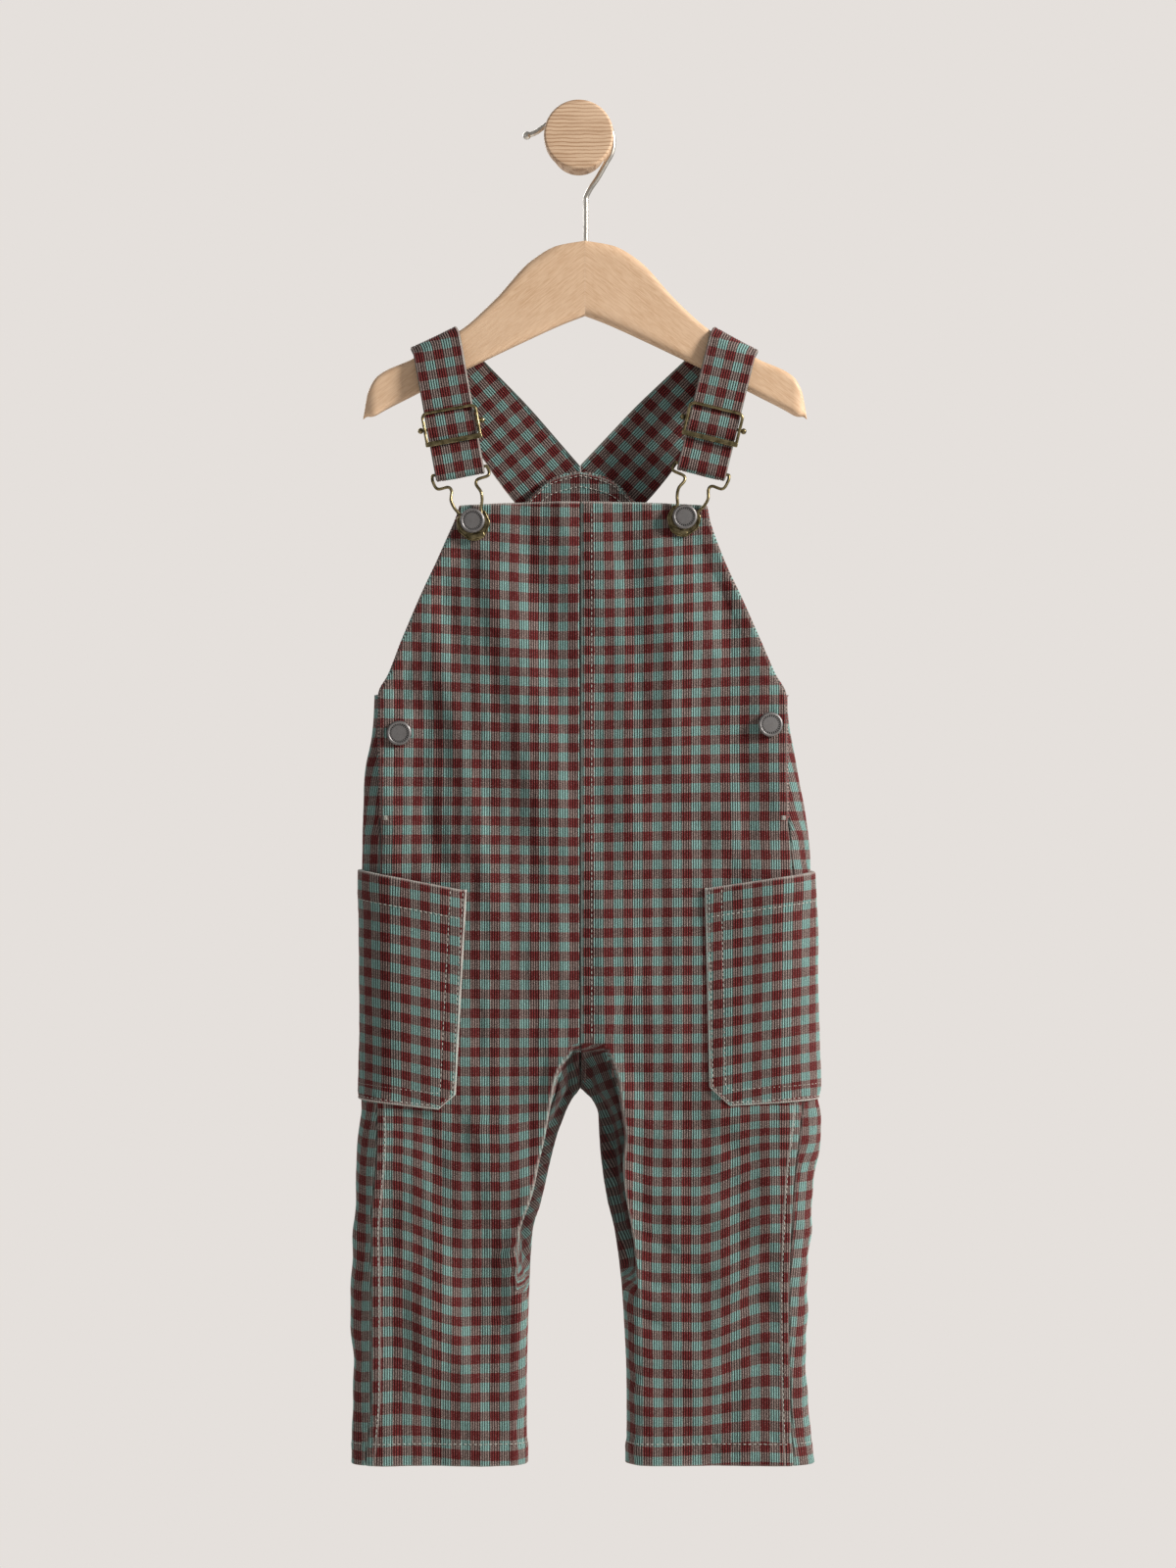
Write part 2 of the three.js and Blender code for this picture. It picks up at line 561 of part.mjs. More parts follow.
// A patch pocket: the panels' own points round the hip, moved out
function pocket(side) {
  const size = POCKETS[side.key];
  const middle = section(side, (size.topSide + size.footSide) / 2);
  const innerAt = (drop) =>
    mix(size.innerTop, size.innerFoot, (drop - size.topInner) / (size.foot - size.topInner));
  const backInnerAt = (drop) => innerAt(drop) + POCKET_BACK_SHIFT;
  const columnsAt = (drop) => {
    const row = section(side, drop);
    const inner = innerAt(drop);
    const front = [inner, inner + POCKET_CORNER_WIDTH].map((reach) => facePoint('front', side, row, reach));
    const edge = spaced(EDGE_COLUMNS, shoulderOf(row), row.edge - SEAM_GAP / 2);
    const start = sideAngle(row, row.edge + SEAM_GAP / 2);
    const angles = [
      ...spaced(WRAP_COLUMNS, start, Math.PI / 2).slice(1),
      ...spaced(TURN_COLUMNS, Math.PI / 2, Math.PI).slice(1),
    ];
    const backInner = backInnerAt(drop);
    const back = [backInner + POCKET_CORNER_WIDTH / 2, backInner]
      .map((reach) => facePoint('back', side, row, reach));
    return [
      ...front,
      ...edge.map((reach) => facePoint('front', side, row, reach)),
      ...angles.map((angle) => wrapPoint(side, row, angle)),
      ...back,
    ];
  };
  const round = columnsAt(middle.drop);
  const lines = round.map((point, column) => {
    const isBack = column > round.length / 2;
    const inner = isBack ? backInnerAt(middle.drop) : innerAt(middle.drop);
    const away = clamp((point.reach - inner) / (middle.out - inner), 0, 1);
    const cut = clamp(1 - (point.reach - inner) / POCKET_CORNER_WIDTH, 0, 1);
    return {
      top: mix(size.topInner, size.topSide, away),
      foot: mix(size.foot, size.footSide, away) - POCKET_CORNER_HEIGHT * cut,
      gape: POCKET_GAPE * (isBack ? POCKET_BACK_GAPE : 1) * Math.sin(Math.PI * away) ** POCKET_GAPE_ROUNDNESS,
    };
  });
  const grid = (outwards) =>
    spaced(POCKET_ROWS, 0, 1).map((share) =>
      lines.map((line, column) => {
        const drop = mix(line.top, line.foot, share ** POCKET_ROW_CROWDING);
        const gape = line.gape * Math.exp(-(((drop - line.top) / POCKET_GAPE_FALL) ** 2));
        return place(side, columnsAt(drop)[column], drop, POCKET_GAP + gape + outwards);
      }),
    );
  return wall(grid(POCKET_CLOTH), grid(0));
}

// A strap's own axes: its ridge over the hanger, and its run down the front and down the back
function strapFrame(side) {
  const size = STRAPS[side.key];
  const near = new THREE.Vector2(size.nearX, -size.nearDrop);
  const far = new THREE.Vector2(size.farX, -size.farDrop);
  const foot = new THREE.Vector2(size.footX, -size.footDrop);
  const along = near.clone().sub(far).normalize();
  const up = new THREE.Vector2(-along.y, along.x);
  if (up.y < 0) up.negate();
  const rise = HANGER_EDGE + STRAP_SEAT;
  const centre = near.clone().add(far).multiplyScalar(0.5).addScaledVector(up, STRAP_SEAT - rise);
  const run = foot.clone().sub(centre);
  const length = run.length();
  const front = run.normalize();
  const back = along.clone().multiplyScalar(-2 * along.dot(front)).add(front);
  return { centre, along, up, rise, front, back, length };
}

function strapLateral(direction, side) {
  return new THREE.Vector2(-direction.y, direction.x).multiplyScalar(-side.sign);
}

// The strap from its mitred end on the back, over the hanger, through the slide, round the
// bib hook's bar and up again to the slide's loose bar
function strap(side) {
  const frame = strapFrame(side);
  const lateral = strapLateral(frame.front, side);
  const backLateral = strapLateral(frame.back, side);
  const ridgeAt = (offset) => {
    const start = frame.centre.clone().addScaledVector(lateral, offset);
    const shift = -start.clone().sub(frame.centre).dot(frame.up) / frame.front.dot(frame.up);
    return { start, shift };
  };
  const frontFace = HANGER_DEPTH + HANGER_THICKNESS / 2 + STRAP_SEAT;
  const backFace = HANGER_DEPTH - HANGER_THICKNESS / 2 - STRAP_SEAT;
  const bend = FITTING_WIRE + SEAM_GAP;
  const frontFoot = FOLD_BAR_DEPTH + bend;
  const slideTop = frame.length - SLIDE_FOOT - SLIDE_HEIGHT;
  const slideFoot = frame.length - SLIDE_FOOT;
  const slideMiddle = (slideTop + slideFoot) / 2;
  const foldStart = frame.length - STRAP_FOLD;

  const runs = spaced(STRAP_COLUMNS, -0.5, 0.5).map((share) => {
    const { start, shift } = ridgeAt(share * STRAP_FRONT_WIDTH);
    const ridge = start.clone().addScaledVector(frame.front, shift);
    const path = [];
    const lay = (flat, depth) => path.push(new THREE.Vector3(flat.x, -depth, flat.y));

    // Down the back, from the mitre at the centre seam up to the hanger, flared on the outer side
    const widened = (STRAP_BACK_WIDTH - STRAP_FRONT_WIDTH) * share;
    const spread = widened + STRAP_BACK_FLARE * Math.min(0, share);
    const edge = ridge.clone().addScaledVector(backLateral, spread);
    const target = SEAM_X + (side.sign * SEAM_GAP) / 2;
    const backRun = (target - edge.x) / frame.back.x;
    for (const part of spaced(STRAP_BACK_ROWS, 1, STRAP_BACK_START)) {
      const at = edge.clone().addScaledVector(frame.back, backRun * part);
      const narrowed = 1 - THREE.MathUtils.smoothstep(part, 0, STRAP_TAPER_SHARE);
      at.addScaledVector(backLateral, -spread * narrowed);
      const settled = clamp((backRun * part) / STRAP_BACK_SLACK, 0, 1);
      const panel = read(DEPTHS, 'back', -at.y) - SEAM_GAP;
      lay(at, mix(backFace, panel, settled));
    }
    // Over the hanger's rounded edges
    for (const turn of STRAP_RIDGE_TURNS) {
      const angle = radians(turn);
      const at = ridge.clone().addScaledVector(frame.up, frame.rise * Math.sin(angle));
      lay(at, backFace + frame.rise * (1 - Math.cos(angle)));
    }
    for (const turn of STRAP_RIDGE_TURNS.toReversed()) {
      const angle = radians(turn);
      const at = ridge.clone().addScaledVector(frame.up, frame.rise * Math.sin(angle));
      lay(at, frontFace - frame.rise * (1 - Math.cos(angle)));
    }
    // Down the front, puffed out between the slide's bars
    const down = [
      ...STRAP_FRONT_PARTS.map((part) => ({ distance: slideTop * part, puff: 0 })),
      { distance: slideTop + SLIDE_BAR_HEIGHT / 2, puff: 0 },
      { distance: (slideTop + slideMiddle) / 2, puff: STRAP_PUFF_SHOULDER },
      { distance: slideMiddle, puff: 1 },
      { distance: (slideFoot + slideMiddle) / 2, puff: STRAP_PUFF_SHOULDER },
      { distance: slideFoot - SLIDE_BAR_HEIGHT / 2, puff: 0 },
      { distance: slideFoot + SLIDE_BAR_HEIGHT, puff: 0 },
      { distance: (slideFoot + foldStart) / 2, puff: 0 },
      { distance: foldStart, puff: 0 },
    ];
    for (const { distance, puff } of down) {
      const share = Math.min(1, distance / slideTop);
      const at = start.clone().addScaledVector(frame.front, mix(shift, distance, share));
      lay(at, mix(frontFace, frontFoot, share) + SLIDE_PUFF * puff);
    }
    // Round the bib hook's bar
    for (const turn of STRAP_FOLD_TURNS) {
      const angle = radians(turn);
      const at = start.clone().addScaledVector(frame.front, foldStart + bend * Math.sin(angle));
      lay(at, FOLD_BAR_DEPTH + bend * Math.cos(angle));
    }
    // Up behind and over the slide's loose bar
    for (const part of STRAP_TAIL_PARTS) {
      const at = start.clone().addScaledVector(frame.front, mix(foldStart, slideMiddle, part));
      lay(at, FOLD_BAR_DEPTH - bend);
    }
    for (const turn of STRAP_TAIL_TURNS) {
      const angle = radians(turn);
      const at = start.clone().addScaledVector(frame.front, slideMiddle - bend * Math.sin(angle));
      lay(at, FOLD_BAR_DEPTH - bend * Math.cos(angle));
    }
    return path;
  });

  const rows = runs[0].map((_, k) => runs.map((path) => path[k]));
  return wall(thickened(rows, STRAP_CLOTH, side), rows);
}

// The same grid moved out along its own normals
function thickened(rows, thickness, side) {
  const last = rows.length - 1;
  const end = rows[0].length - 1;
  return rows.map((row, k) =>
    row.map((point, column) => {
      const along = rows[Math.min(k + 1, last)][column].clone().sub(rows[Math.max(k - 1, 0)][column]);
      const across = row[Math.min(column + 1, end)].clone().sub(row[Math.max(column - 1, 0)]);
      const out = across.cross(along).normalize().multiplyScalar(side.sign);
      const before = rows[Math.max(k - 1, 0)][column].clone().sub(point).normalize();
      const after = rows[Math.min(k + 1, last)][column].clone().sub(point).normalize();
      const corner = k === 0 || k === last ? 1 : Math.sqrt((1 - before.dot(after)) / 2);
      return point.clone().addScaledVector(out, thickness / Math.max(corner, SHARPEST_CORNER));
    }),
  );
}

const toSolid = (geometry) => {
  const bare = geometry.clone();
  bare.deleteAttribute('normal');
  bare.deleteAttribute('uv');
  const merged = mergeVertices(bare, 1e-4);
  return new wasm.Manifold(
    new wasm.Mesh({
      numProp: 3,
      vertProperties: Float32Array.from(merged.attributes.position.array),
      triVerts: Uint32Array.from(merged.index.array),
    }),
  );
};

function fromSolid(solid) {
  const mesh = solid.getMesh();
  const geometry = new THREE.BufferGeometry();
  geometry.setAttribute('position', new THREE.BufferAttribute(Float32Array.from(mesh.vertProperties), 3));
  geometry.setIndex(new THREE.BufferAttribute(Uint32Array.from(mesh.triVerts), 1));
  geometry.computeVertexNormals();
  return geometry;
}

const joined = (pieces) => fromSolid(pieces.map(toSolid).reduce((whole, piece) => whole.add(piece)));

function disc(radius, sides) {
  const shape = new THREE.Shape();
  for (let k = 0; k < sides; k += 1) {
    const angle = (2 * Math.PI * k) / sides;
    shape[k ? 'lineTo' : 'moveTo'](radius * Math.cos(angle), radius * Math.sin(angle));
  }
  return shape;
}

function wire(points, radius, sides, steps, tension = 0.5) {
  const route = new THREE.CatmullRomCurve3(points, false, 'catmullrom', tension);
  return new THREE.ExtrudeGeometry(disc(radius, sides), { extrudePath: route, steps });
}

// One half of the hanger, with half of the bore for the wire
function hangerHalf(side) {
  const shape = new THREE.Shape();
  const joint = SEAM_GAP / 2 + HANGER_EDGE;
  const tip = HANGER_TOP[HANGER_TOP.length - 1].reach;
  const spots = (table, count, inset) =>
    spaced(count, 0, tip, 1 / HANGER_TIP_CROWDING).map((reach) => {
      const inwards = Math.max(reach * (1 - HANGER_EDGE / tip), joint);
      return new THREE.Vector2(side.sign * inwards, -read(table, 'drop', reach, 'reach') - inset);
    });
  const upper = spots(HANGER_TOP, HANGER_TOP_POINTS, HANGER_EDGE);
  const under = spots(HANGER_UNDER, HANGER_UNDER_POINTS, -HANGER_EDGE).reverse();
  [...upper, ...under].forEach((at, k) => shape[k ? 'lineTo' : 'moveTo'](at.x, at.y));
  const plain = new THREE.ExtrudeGeometry(shape, {
    depth: HANGER_THICKNESS - 2 * HANGER_EDGE,
    bevelSize: HANGER_EDGE,
    bevelThickness: HANGER_EDGE,
    bevelSegments: 2,
  });
  plain.rotateX(Math.PI / 2);
  plain.translate(0, -HANGER_DEPTH + HANGER_THICKNESS / 2 - HANGER_EDGE, 0);
  const bore = new THREE.CylinderGeometry(HANGER_BORE, HANGER_BORE, HANGER_BORE_LENGTH * 2, 12);
  bore.rotateX(Math.PI / 2);
  bore.translate(HOOK_STEM_X, -HANGER_DEPTH, -HANGER_TOP[0].drop);
  return fromSolid(toSolid(plain).subtract(toSolid(bore)));
}

// The wire hook: a stem in the hanger, a crook round the peg's neck and a ball at the tip
function hangerHook() {
  const centreZ = PEG_NECK_RADIUS + SEAM_GAP + HOOK_WIRE - HOOK_RADIUS;
  const at = ({ x, drop }) => new THREE.Vector3(x, -HANGER_DEPTH, -drop);
  const foot = HANGER_TOP[0].drop + HANGER_BORE_LENGTH - HOOK_STEM_INSET;
  const crook = HOOK_CROOK_TURNS.map((turn) => {
    const angle = radians(turn);
    return at({
      x: HOOK_X + HOOK_RADIUS * Math.cos(angle),
      drop: -centreZ - HOOK_RADIUS * Math.sin(angle),
    });
  });
  const points = [at({ x: HOOK_STEM_X, drop: foot }), ...HOOK_BEND.map(at), ...crook, ...HOOK_END.map(at)];
  const body = wire(points, HOOK_WIRE, HOOK_SIDES, HOOK_TUBE_STEPS);
  const tip = new THREE.SphereGeometry(HOOK_TIP.radius, 10, 7);
  const end = at(HOOK_TIP);
  return joined([body, tip.translate(end.x, end.y, end.z)]);
}

function wallPeg() {
  const knob = PEG_KNOB_RADIUS;
  const profile = [
    new THREE.Vector2(0, 0),
    new THREE.Vector2(PEG_NECK_RADIUS, 0),
    new THREE.Vector2(PEG_NECK_RADIUS, PEG_NECK_DEPTH),
    new THREE.Vector2(knob - PEG_EDGE / 2, PEG_NECK_DEPTH),
    new THREE.Vector2(knob, PEG_NECK_DEPTH + PEG_EDGE / 2),
    new THREE.Vector2(knob, PEG_DEPTH - PEG_EDGE),
    new THREE.Vector2(knob - PEG_EDGE * PEG_EDGE_BULGE, PEG_DEPTH - PEG_EDGE * PEG_EDGE_BULGE),
    new THREE.Vector2(knob - PEG_EDGE, PEG_DEPTH),
    new THREE.Vector2(0, PEG_DEPTH),
  ];
  return new THREE.LatheGeometry(profile, PEG_SIDES).rotateX(Math.PI);
}

// Puts a fitting that was drawn flat onto a strap: its x across, its y up the strap, its z forward
function onStrap(geometry, side, distance, depth) {
  const frame = strapFrame(side);
  const across = strapLateral(frame.front, side);
  const right = across.x < 0 ? across.clone().negate() : across;
  const at = frame.centre.clone().addScaledVector(frame.front, distance);
  const basis = new THREE.Matrix4().makeBasis(
    new THREE.Vector3(right.x, 0, right.y),
    new THREE.Vector3(-frame.front.x, 0, -frame.front.y),
    new THREE.Vector3(0, -1, 0),
  );
  basis.setPosition(at.x, -depth, at.y);
  return geometry.applyMatrix4(basis);
}

const bar = (length, radius, sides) =>
  new THREE.CylinderGeometry(radius, radius, length, sides).rotateZ(Math.PI / 2);

// The slide: a wire frame with a flat lower bar, and a loose bar behind the strap with ball ends
function slide(side) {
  const halfWidth = SLIDE_WIDTH / 2;
  const frontDepth = FITTING_WIRE + SEAM_GAP + STRAP_CLOTH + SEAM_GAP + FITTING_WIRE;
  const corners = [
    [halfWidth, 0],
    [halfWidth, SLIDE_HEIGHT - SLIDE_CORNER],
    [halfWidth - SLIDE_CORNER, SLIDE_HEIGHT],
    [-halfWidth + SLIDE_CORNER, SLIDE_HEIGHT],
    [-halfWidth, SLIDE_HEIGHT - SLIDE_CORNER],
    [-halfWidth, 0],
  ];
  const points = corners.map(([x, y]) => new THREE.Vector3(x, y, frontDepth));
  const frame = wire(points, FITTING_WIRE, FITTING_SIDES, SLIDE_STEPS, SLIDE_TENSION);
  const flat = new THREE.BoxGeometry(SLIDE_WIDTH + 2 * FITTING_WIRE, SLIDE_BAR_HEIGHT, SLIDE_BAR_THICKNESS);
  flat.translate(0, 0, frontDepth + SLIDE_BAR_PROUD);
  const loose = bar(SLIDE_WIDTH + 4 * FITTING_WIRE, SLIDE_LOOSE_WIRE, FITTING_SIDES);
  loose.translate(0, SLIDE_HEIGHT / 2, 0);
  const balls = [-1, 1].map((end) => {
    const ball = new THREE.SphereGeometry(SLIDE_BALL, 8, 6);
    return ball.translate(end * (halfWidth + 2 * FITTING_WIRE + SLIDE_BALL_GAP), SLIDE_HEIGHT / 2, 0);
  });
  const ears = [-1, 1].map((end) => {
    const ear = new THREE.BoxGeometry(SLIDE_EAR_WIDTH, SLIDE_EAR_HEIGHT, frontDepth);
    return ear.translate(end * halfWidth, SLIDE_HEIGHT / 2, frontDepth / 2);
  });
  const fitting = joined([frame, flat, loose, ...balls, ...ears]);
  return onStrap(fitting, side, strapFrame(side).length - SLIDE_FOOT, FOLD_BAR_DEPTH);
}

// The bib hook: a bar in the strap's fold, wire sides that nip in, and a plate under the button
function bibHook(side) {
  const frame = strapFrame(side);
  const button = BUTTONS[side.key];
  const top = frame.centre.clone().addScaledVector(frame.front, frame.length - STRAP_FOLD);
  const foot = new THREE.Vector2(button.bibX, -button.bibDrop);
  const fall = foot.clone().sub(top);
  const reach = fall.length();
  const down = fall.clone().normalize();
  const right = new THREE.Vector2(-down.y, down.x);
  const barRight = strapLateral(frame.front, side);
  if (barRight.x < 0) barRight.negate();
  const plateDepth = bibDepth(side, PLATE_REACH) + SEAM_GAP + PLATE_THICKNESS / 2;
  const spot = (row, sign) => {
    const axis = row.onBar ? barRight : right;
    const flat = top.clone()
      .addScaledVector(down, row.down * reach)
      .addScaledVector(axis, sign * row.across * HOOK_BAR_HALF);
    const risen = clamp(row.down / HOOK_RISE_SHARE, 0, 1);
    const depth = mix(FOLD_BAR_DEPTH, plateDepth + HOOK_ON_PLATE, risen);
    return new THREE.Vector3(flat.x, -depth, flat.y);
  };
  const left = BIB_HOOK_OUTLINE.map((row) => spot(row, -1)).reverse();
  const rightSide = BIB_HOOK_OUTLINE.map((row) => spot(row, 1));
  const halves = [left, rightSide].map((points) => wire(points, FITTING_WIRE, FITTING_SIDES, HOOK_STEPS));
  const ends = [left[left.length - 1], rightSide[0]];
  const cross = wire([ends[0], ends[0].clone().lerp(ends[1], 0.5), ends[1]], FITTING_WIRE, FITTING_SIDES, 2);
  const knuckles = ends.map((end) => {
    const ball = new THREE.SphereGeometry(KNUCKLE, 8, 6);
    return ball.translate(end.x, end.y, end.z);
  });
  const shape = new THREE.Shape();
  PLATE_CORNERS.forEach((corner, k) => {
    const at = foot.clone()
      .addScaledVector(right, corner.across * PLATE_REACH)
      .addScaledVector(down, corner.down * PLATE_REACH);
    shape[k ? 'lineTo' : 'moveTo'](at.x, at.y);
  });
  const hole = disc(PLATE_HOLE, PLATE_HOLE_SIDES).getPoints().map((point) => point.add(foot));
  shape.holes.push(new THREE.Path(hole));
  const plate = new THREE.ExtrudeGeometry(shape, {
    depth: PLATE_THICKNESS,
    bevelEnabled: false,
  });
  plate.rotateX(Math.PI / 2);
  plate.translate(0, -plateDepth + PLATE_THICKNESS / 2, 0);
  return joined([...halves, cross, ...knuckles, plate]);
}

// The bib's greatest depth at its button, or within a span round it
function bibDepth(side, span = 0) {
  const button = BUTTONS[side.key];
  const reach = side.sign * (button.bibX - SEAM_X) - SEAM_GAP / 2;
  const depthAt = (sideways, down) => {
    const row = section(side, button.bibDrop + down);
    return facePoint('front', side, row, reach + sideways).depth;
  };
  const steps = [-span, 0, span];
  return Math.max(...steps.flatMap((down) => steps.map((sideways) => depthAt(sideways, down))));
}

// A jeans button: foot, neck and a domed cap, drawn along +y from the cloth
function button(stand) {
  const stem = [
    new THREE.Vector2(0, SEAM_GAP),
    new THREE.Vector2(BUTTON_NECK, SEAM_GAP),
    new THREE.Vector2(BUTTON_NECK, stand),
  ];
  const cap = BUTTON_CAP_PROFILE.map(
    ({ share, height }) => new THREE.Vector2(share * BUTTON_RADIUS, stand + height),
  );
  return new THREE.LatheGeometry([...stem, ...cap], BUTTON_SIDES);
}

function seatButton(name, stand, base, normal) {
  const mesh = add(name, button(stand), GUNMETAL);
  mesh.position.copy(base);
  mesh.quaternion.setFromUnitVectors(new THREE.Vector3(0, 1, 0), normal);
}

for (const side of SIDES) {
  add(`front_${side.name}`, frontPanel(side), CORD);
  add(`back_${side.name}`, backPanel(side), CORD);
  add(`pocket_${side.name}`, pocket(side), CORD);
  add(`strap_${side.name}`, strap(side), CORD);
  add(`slide_${side.name}`, slide(side), OLD_BRASS);
  add(`bib_hook_${side.name}`, bibHook(side), OLD_BRASS);
  add(`hanger_${side.name}`, hangerHalf(side), BEECH);

  const at = BUTTONS[side.key];
  const bib = new THREE.Vector3(at.bibX, -bibDepth(side), -at.bibDrop);
  seatButton(`bib_button_${side.name}`, BIB_BUTTON_STAND, bib, new THREE.Vector3(0, -1, 0));
  const row = section(side, at.sideDrop);
  const face = facePoint('front', side, row, at.sideReach);
  const seat = place(side, face, at.sideDrop, 0);
  const normal = new THREE.Vector3(side.sign * face.normal.x, -face.normal.y, 0);
  seatButton(`side_button_${side.name}`, SIDE_BUTTON_STAND, seat, normal);
}

add('hanger_hook', hangerHook(), SATIN_WIRE);
add('wall_peg', wallPeg(), BEECH, whole);

export default whole;
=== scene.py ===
"""Looks of the checked needlecord bib overalls on their hanger and peg."""
import math

import bpy
import numpy as np
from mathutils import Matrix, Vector


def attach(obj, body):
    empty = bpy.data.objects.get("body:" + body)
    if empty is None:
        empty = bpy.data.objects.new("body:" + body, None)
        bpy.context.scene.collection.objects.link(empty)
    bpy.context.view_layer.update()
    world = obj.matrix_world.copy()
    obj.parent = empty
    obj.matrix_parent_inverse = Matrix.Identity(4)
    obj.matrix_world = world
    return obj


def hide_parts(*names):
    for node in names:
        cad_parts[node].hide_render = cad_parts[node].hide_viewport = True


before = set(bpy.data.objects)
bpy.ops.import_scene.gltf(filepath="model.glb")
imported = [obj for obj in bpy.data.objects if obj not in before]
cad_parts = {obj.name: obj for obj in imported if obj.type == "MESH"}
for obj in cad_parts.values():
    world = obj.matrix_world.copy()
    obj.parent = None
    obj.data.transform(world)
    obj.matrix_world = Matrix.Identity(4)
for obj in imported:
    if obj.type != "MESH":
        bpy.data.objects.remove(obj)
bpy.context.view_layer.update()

# Sizes are in millimetres until a mesh is made. A drop is a distance below the peg's middle, a depth
# a distance in front of the wall, and a reach a distance outwards from the centre seam.
MM = 0.001
HANGER_X = 4.0
SEAM_X = -3.0
SEAM_GAP = 0.3
PANEL_CLOTH = 1.8
POCKET_CLOTH = 1.8
STRAP_CLOTH = 2.4
BIB_TOP = 231.5
BIB_CORNER_FALL = 2.5
OPENING_TOP = 353.0
LEVEL_TOP = 362.0
HEM = 843.0
SIDES = (("L", "left", -1), ("R", "right", 1))

# The check and the wales
CHECK_WIDTH = 12.4
CHECK_LENGTH = 12.22
WALES_A_CHECK = 8
WALE = CHECK_WIDTH / WALES_A_CHECK
WALE_HEIGHT = 0.4
COLUMNS_A_WALE = 4
CHECK_START = {"L": (28.7, 286.8), "R": (42.6, 284.2), None: (0.0, 0.0)}
HOME_REACH = 70.0


def table(columns, *rows):
    return dict(zip(columns.split(), np.array(rows, dtype=float).T))


OUTLINE = table(
    "drop edgeL edgeR outL outR flare",
    (231, 76, 80, 100, 104, 15), (243, 79.5, 82, 104, 107, 15), (268, 90, 90.5, 111, 113, 15),
    (293, 101.5, 102, 118, 120, 15), (318, 112, 113, 124, 126, 17), (342, 121.5, 123.5, 128.5, 130, 19),
    (354, 127.5, 130, 130, 131.5, 20), (380, 127.5, 131, 132, 135, 20), (404, 127, 131, 135.5, 138.5, 17),
    (425, 126.5, 131.5, 137, 141.5, 11), (432, 126.5, 131.5, 137.5, 142.5, 8),
    (446, 126.5, 133, 138, 144.5, 0), (466, 127, 134.5, 138.5, 146, 0), (516, 128, 138, 139, 150, 0),
    (605, 129, 141, 139, 150, 0), (634, 128.7, 138.8, 141.2, 150.7, 0), (654, 129.8, 136.3, 142.5, 148.3, 0),
    (696, 133, 133.8, 142.6, 146.4, 0), (740, 132.5, 132.5, 143.8, 144.2, 0),
    (797, 132.6, 133.2, 143.8, 142.5, 0), (843, 136, 135, 143.8, 144.8, 0),
)
CROTCH = table(
    "drop innerL innerR foldL foldR turnFront turnBack",
    (560, 0, 0, 5, 10, 0, 0), (576, 0, 0, 6, 15, 0, 0.15), (583, 0, 0, 8.5, 20, 0.2, 0.4),
    (590, 0, 0, 13.5, 22.5, 0.48, 0.65), (598, 0, 0, 16.5, 25, 0.76, 0.85), (605, 0, 0, 18, 26, 1, 1),
    (608, 3, 4.5, 18.5, 26.5, 1, 1), (613, 6.4, 8.6, 19.5, 27, 1, 1), (621, 10, 11.7, 20.8, 28, 1, 1),
    (634, 14.9, 12.2, 23, 29.7, 1, 1), (654, 20, 14, 27.8, 28, 1, 1), (676, 25, 17.5, 33, 30, 1, 1),
    (696, 30.6, 22.3, 40, 34, 1, 1), (740, 33, 27.3, 42, 38, 1, 1), (797, 34.3, 29.7, 44, 40, 1, 1),
    (843, 34.3, 29.7, 44, 40, 1, 1),
)
DEPTHS = table(
    "drop front back round lap inset",
    (211, 42.5, 22.6, 30, 14, 3.4), (231, 43, 22.2, 30, 14, 3.4), (268, 44.5, 21, 30, 14, 3.4),
    (293, 46, 20, 30, 14, 3.4), (354, 50, 17, 30, 14, 3.4), (425, 52, 15.5, 30, 14, 3.4),
    (432, 52, 15.3, 30, -0.6, 3.2), (446, 52, 15, 30, 0, 0), (560, 52.5, 15, 29, 0, 0),
    (600, 52, 15.5, 26, 0, 0), (652, 49.5, 17, 20, 0, 0), (740, 48, 18, 17, 0, 0), (843, 47, 18, 16, 0, 0),
)
ARMHOLE = table(
    "drop reach",
    (211, 0), (216, 18), (229, 33), (243, 45), (262, 62), (291, 85), (322, 105), (344, 118), (353, 126),
)
POCKETS = {
    "L": dict(inner_top=72, inner_foot=79, top_inner=477.5, top_side=465, foot=618.5, foot_side=611),
    "R": dict(inner_top=78.6, inner_foot=81.5, top_inner=476.5, top_side=466, foot=615.5, foot_side=611),
}
POCKET_GAP = 0.5
POCKET_GAPE = 3.0
POCKET_GAPE_FALL = 26.0
POCKET_CORNER_WIDTH = 14.7
POCKET_CORNER_HEIGHT = 14.5
POCKET_BACK_SHIFT = 10.0
POCKET_BACK_GAPE = 0.4
POCKET_SPARE = 6.0
POCKET_HEM = 18.5
POCKET_LINE_TOP = 0.015
POCKET_LINES = (2.4, 10.4)

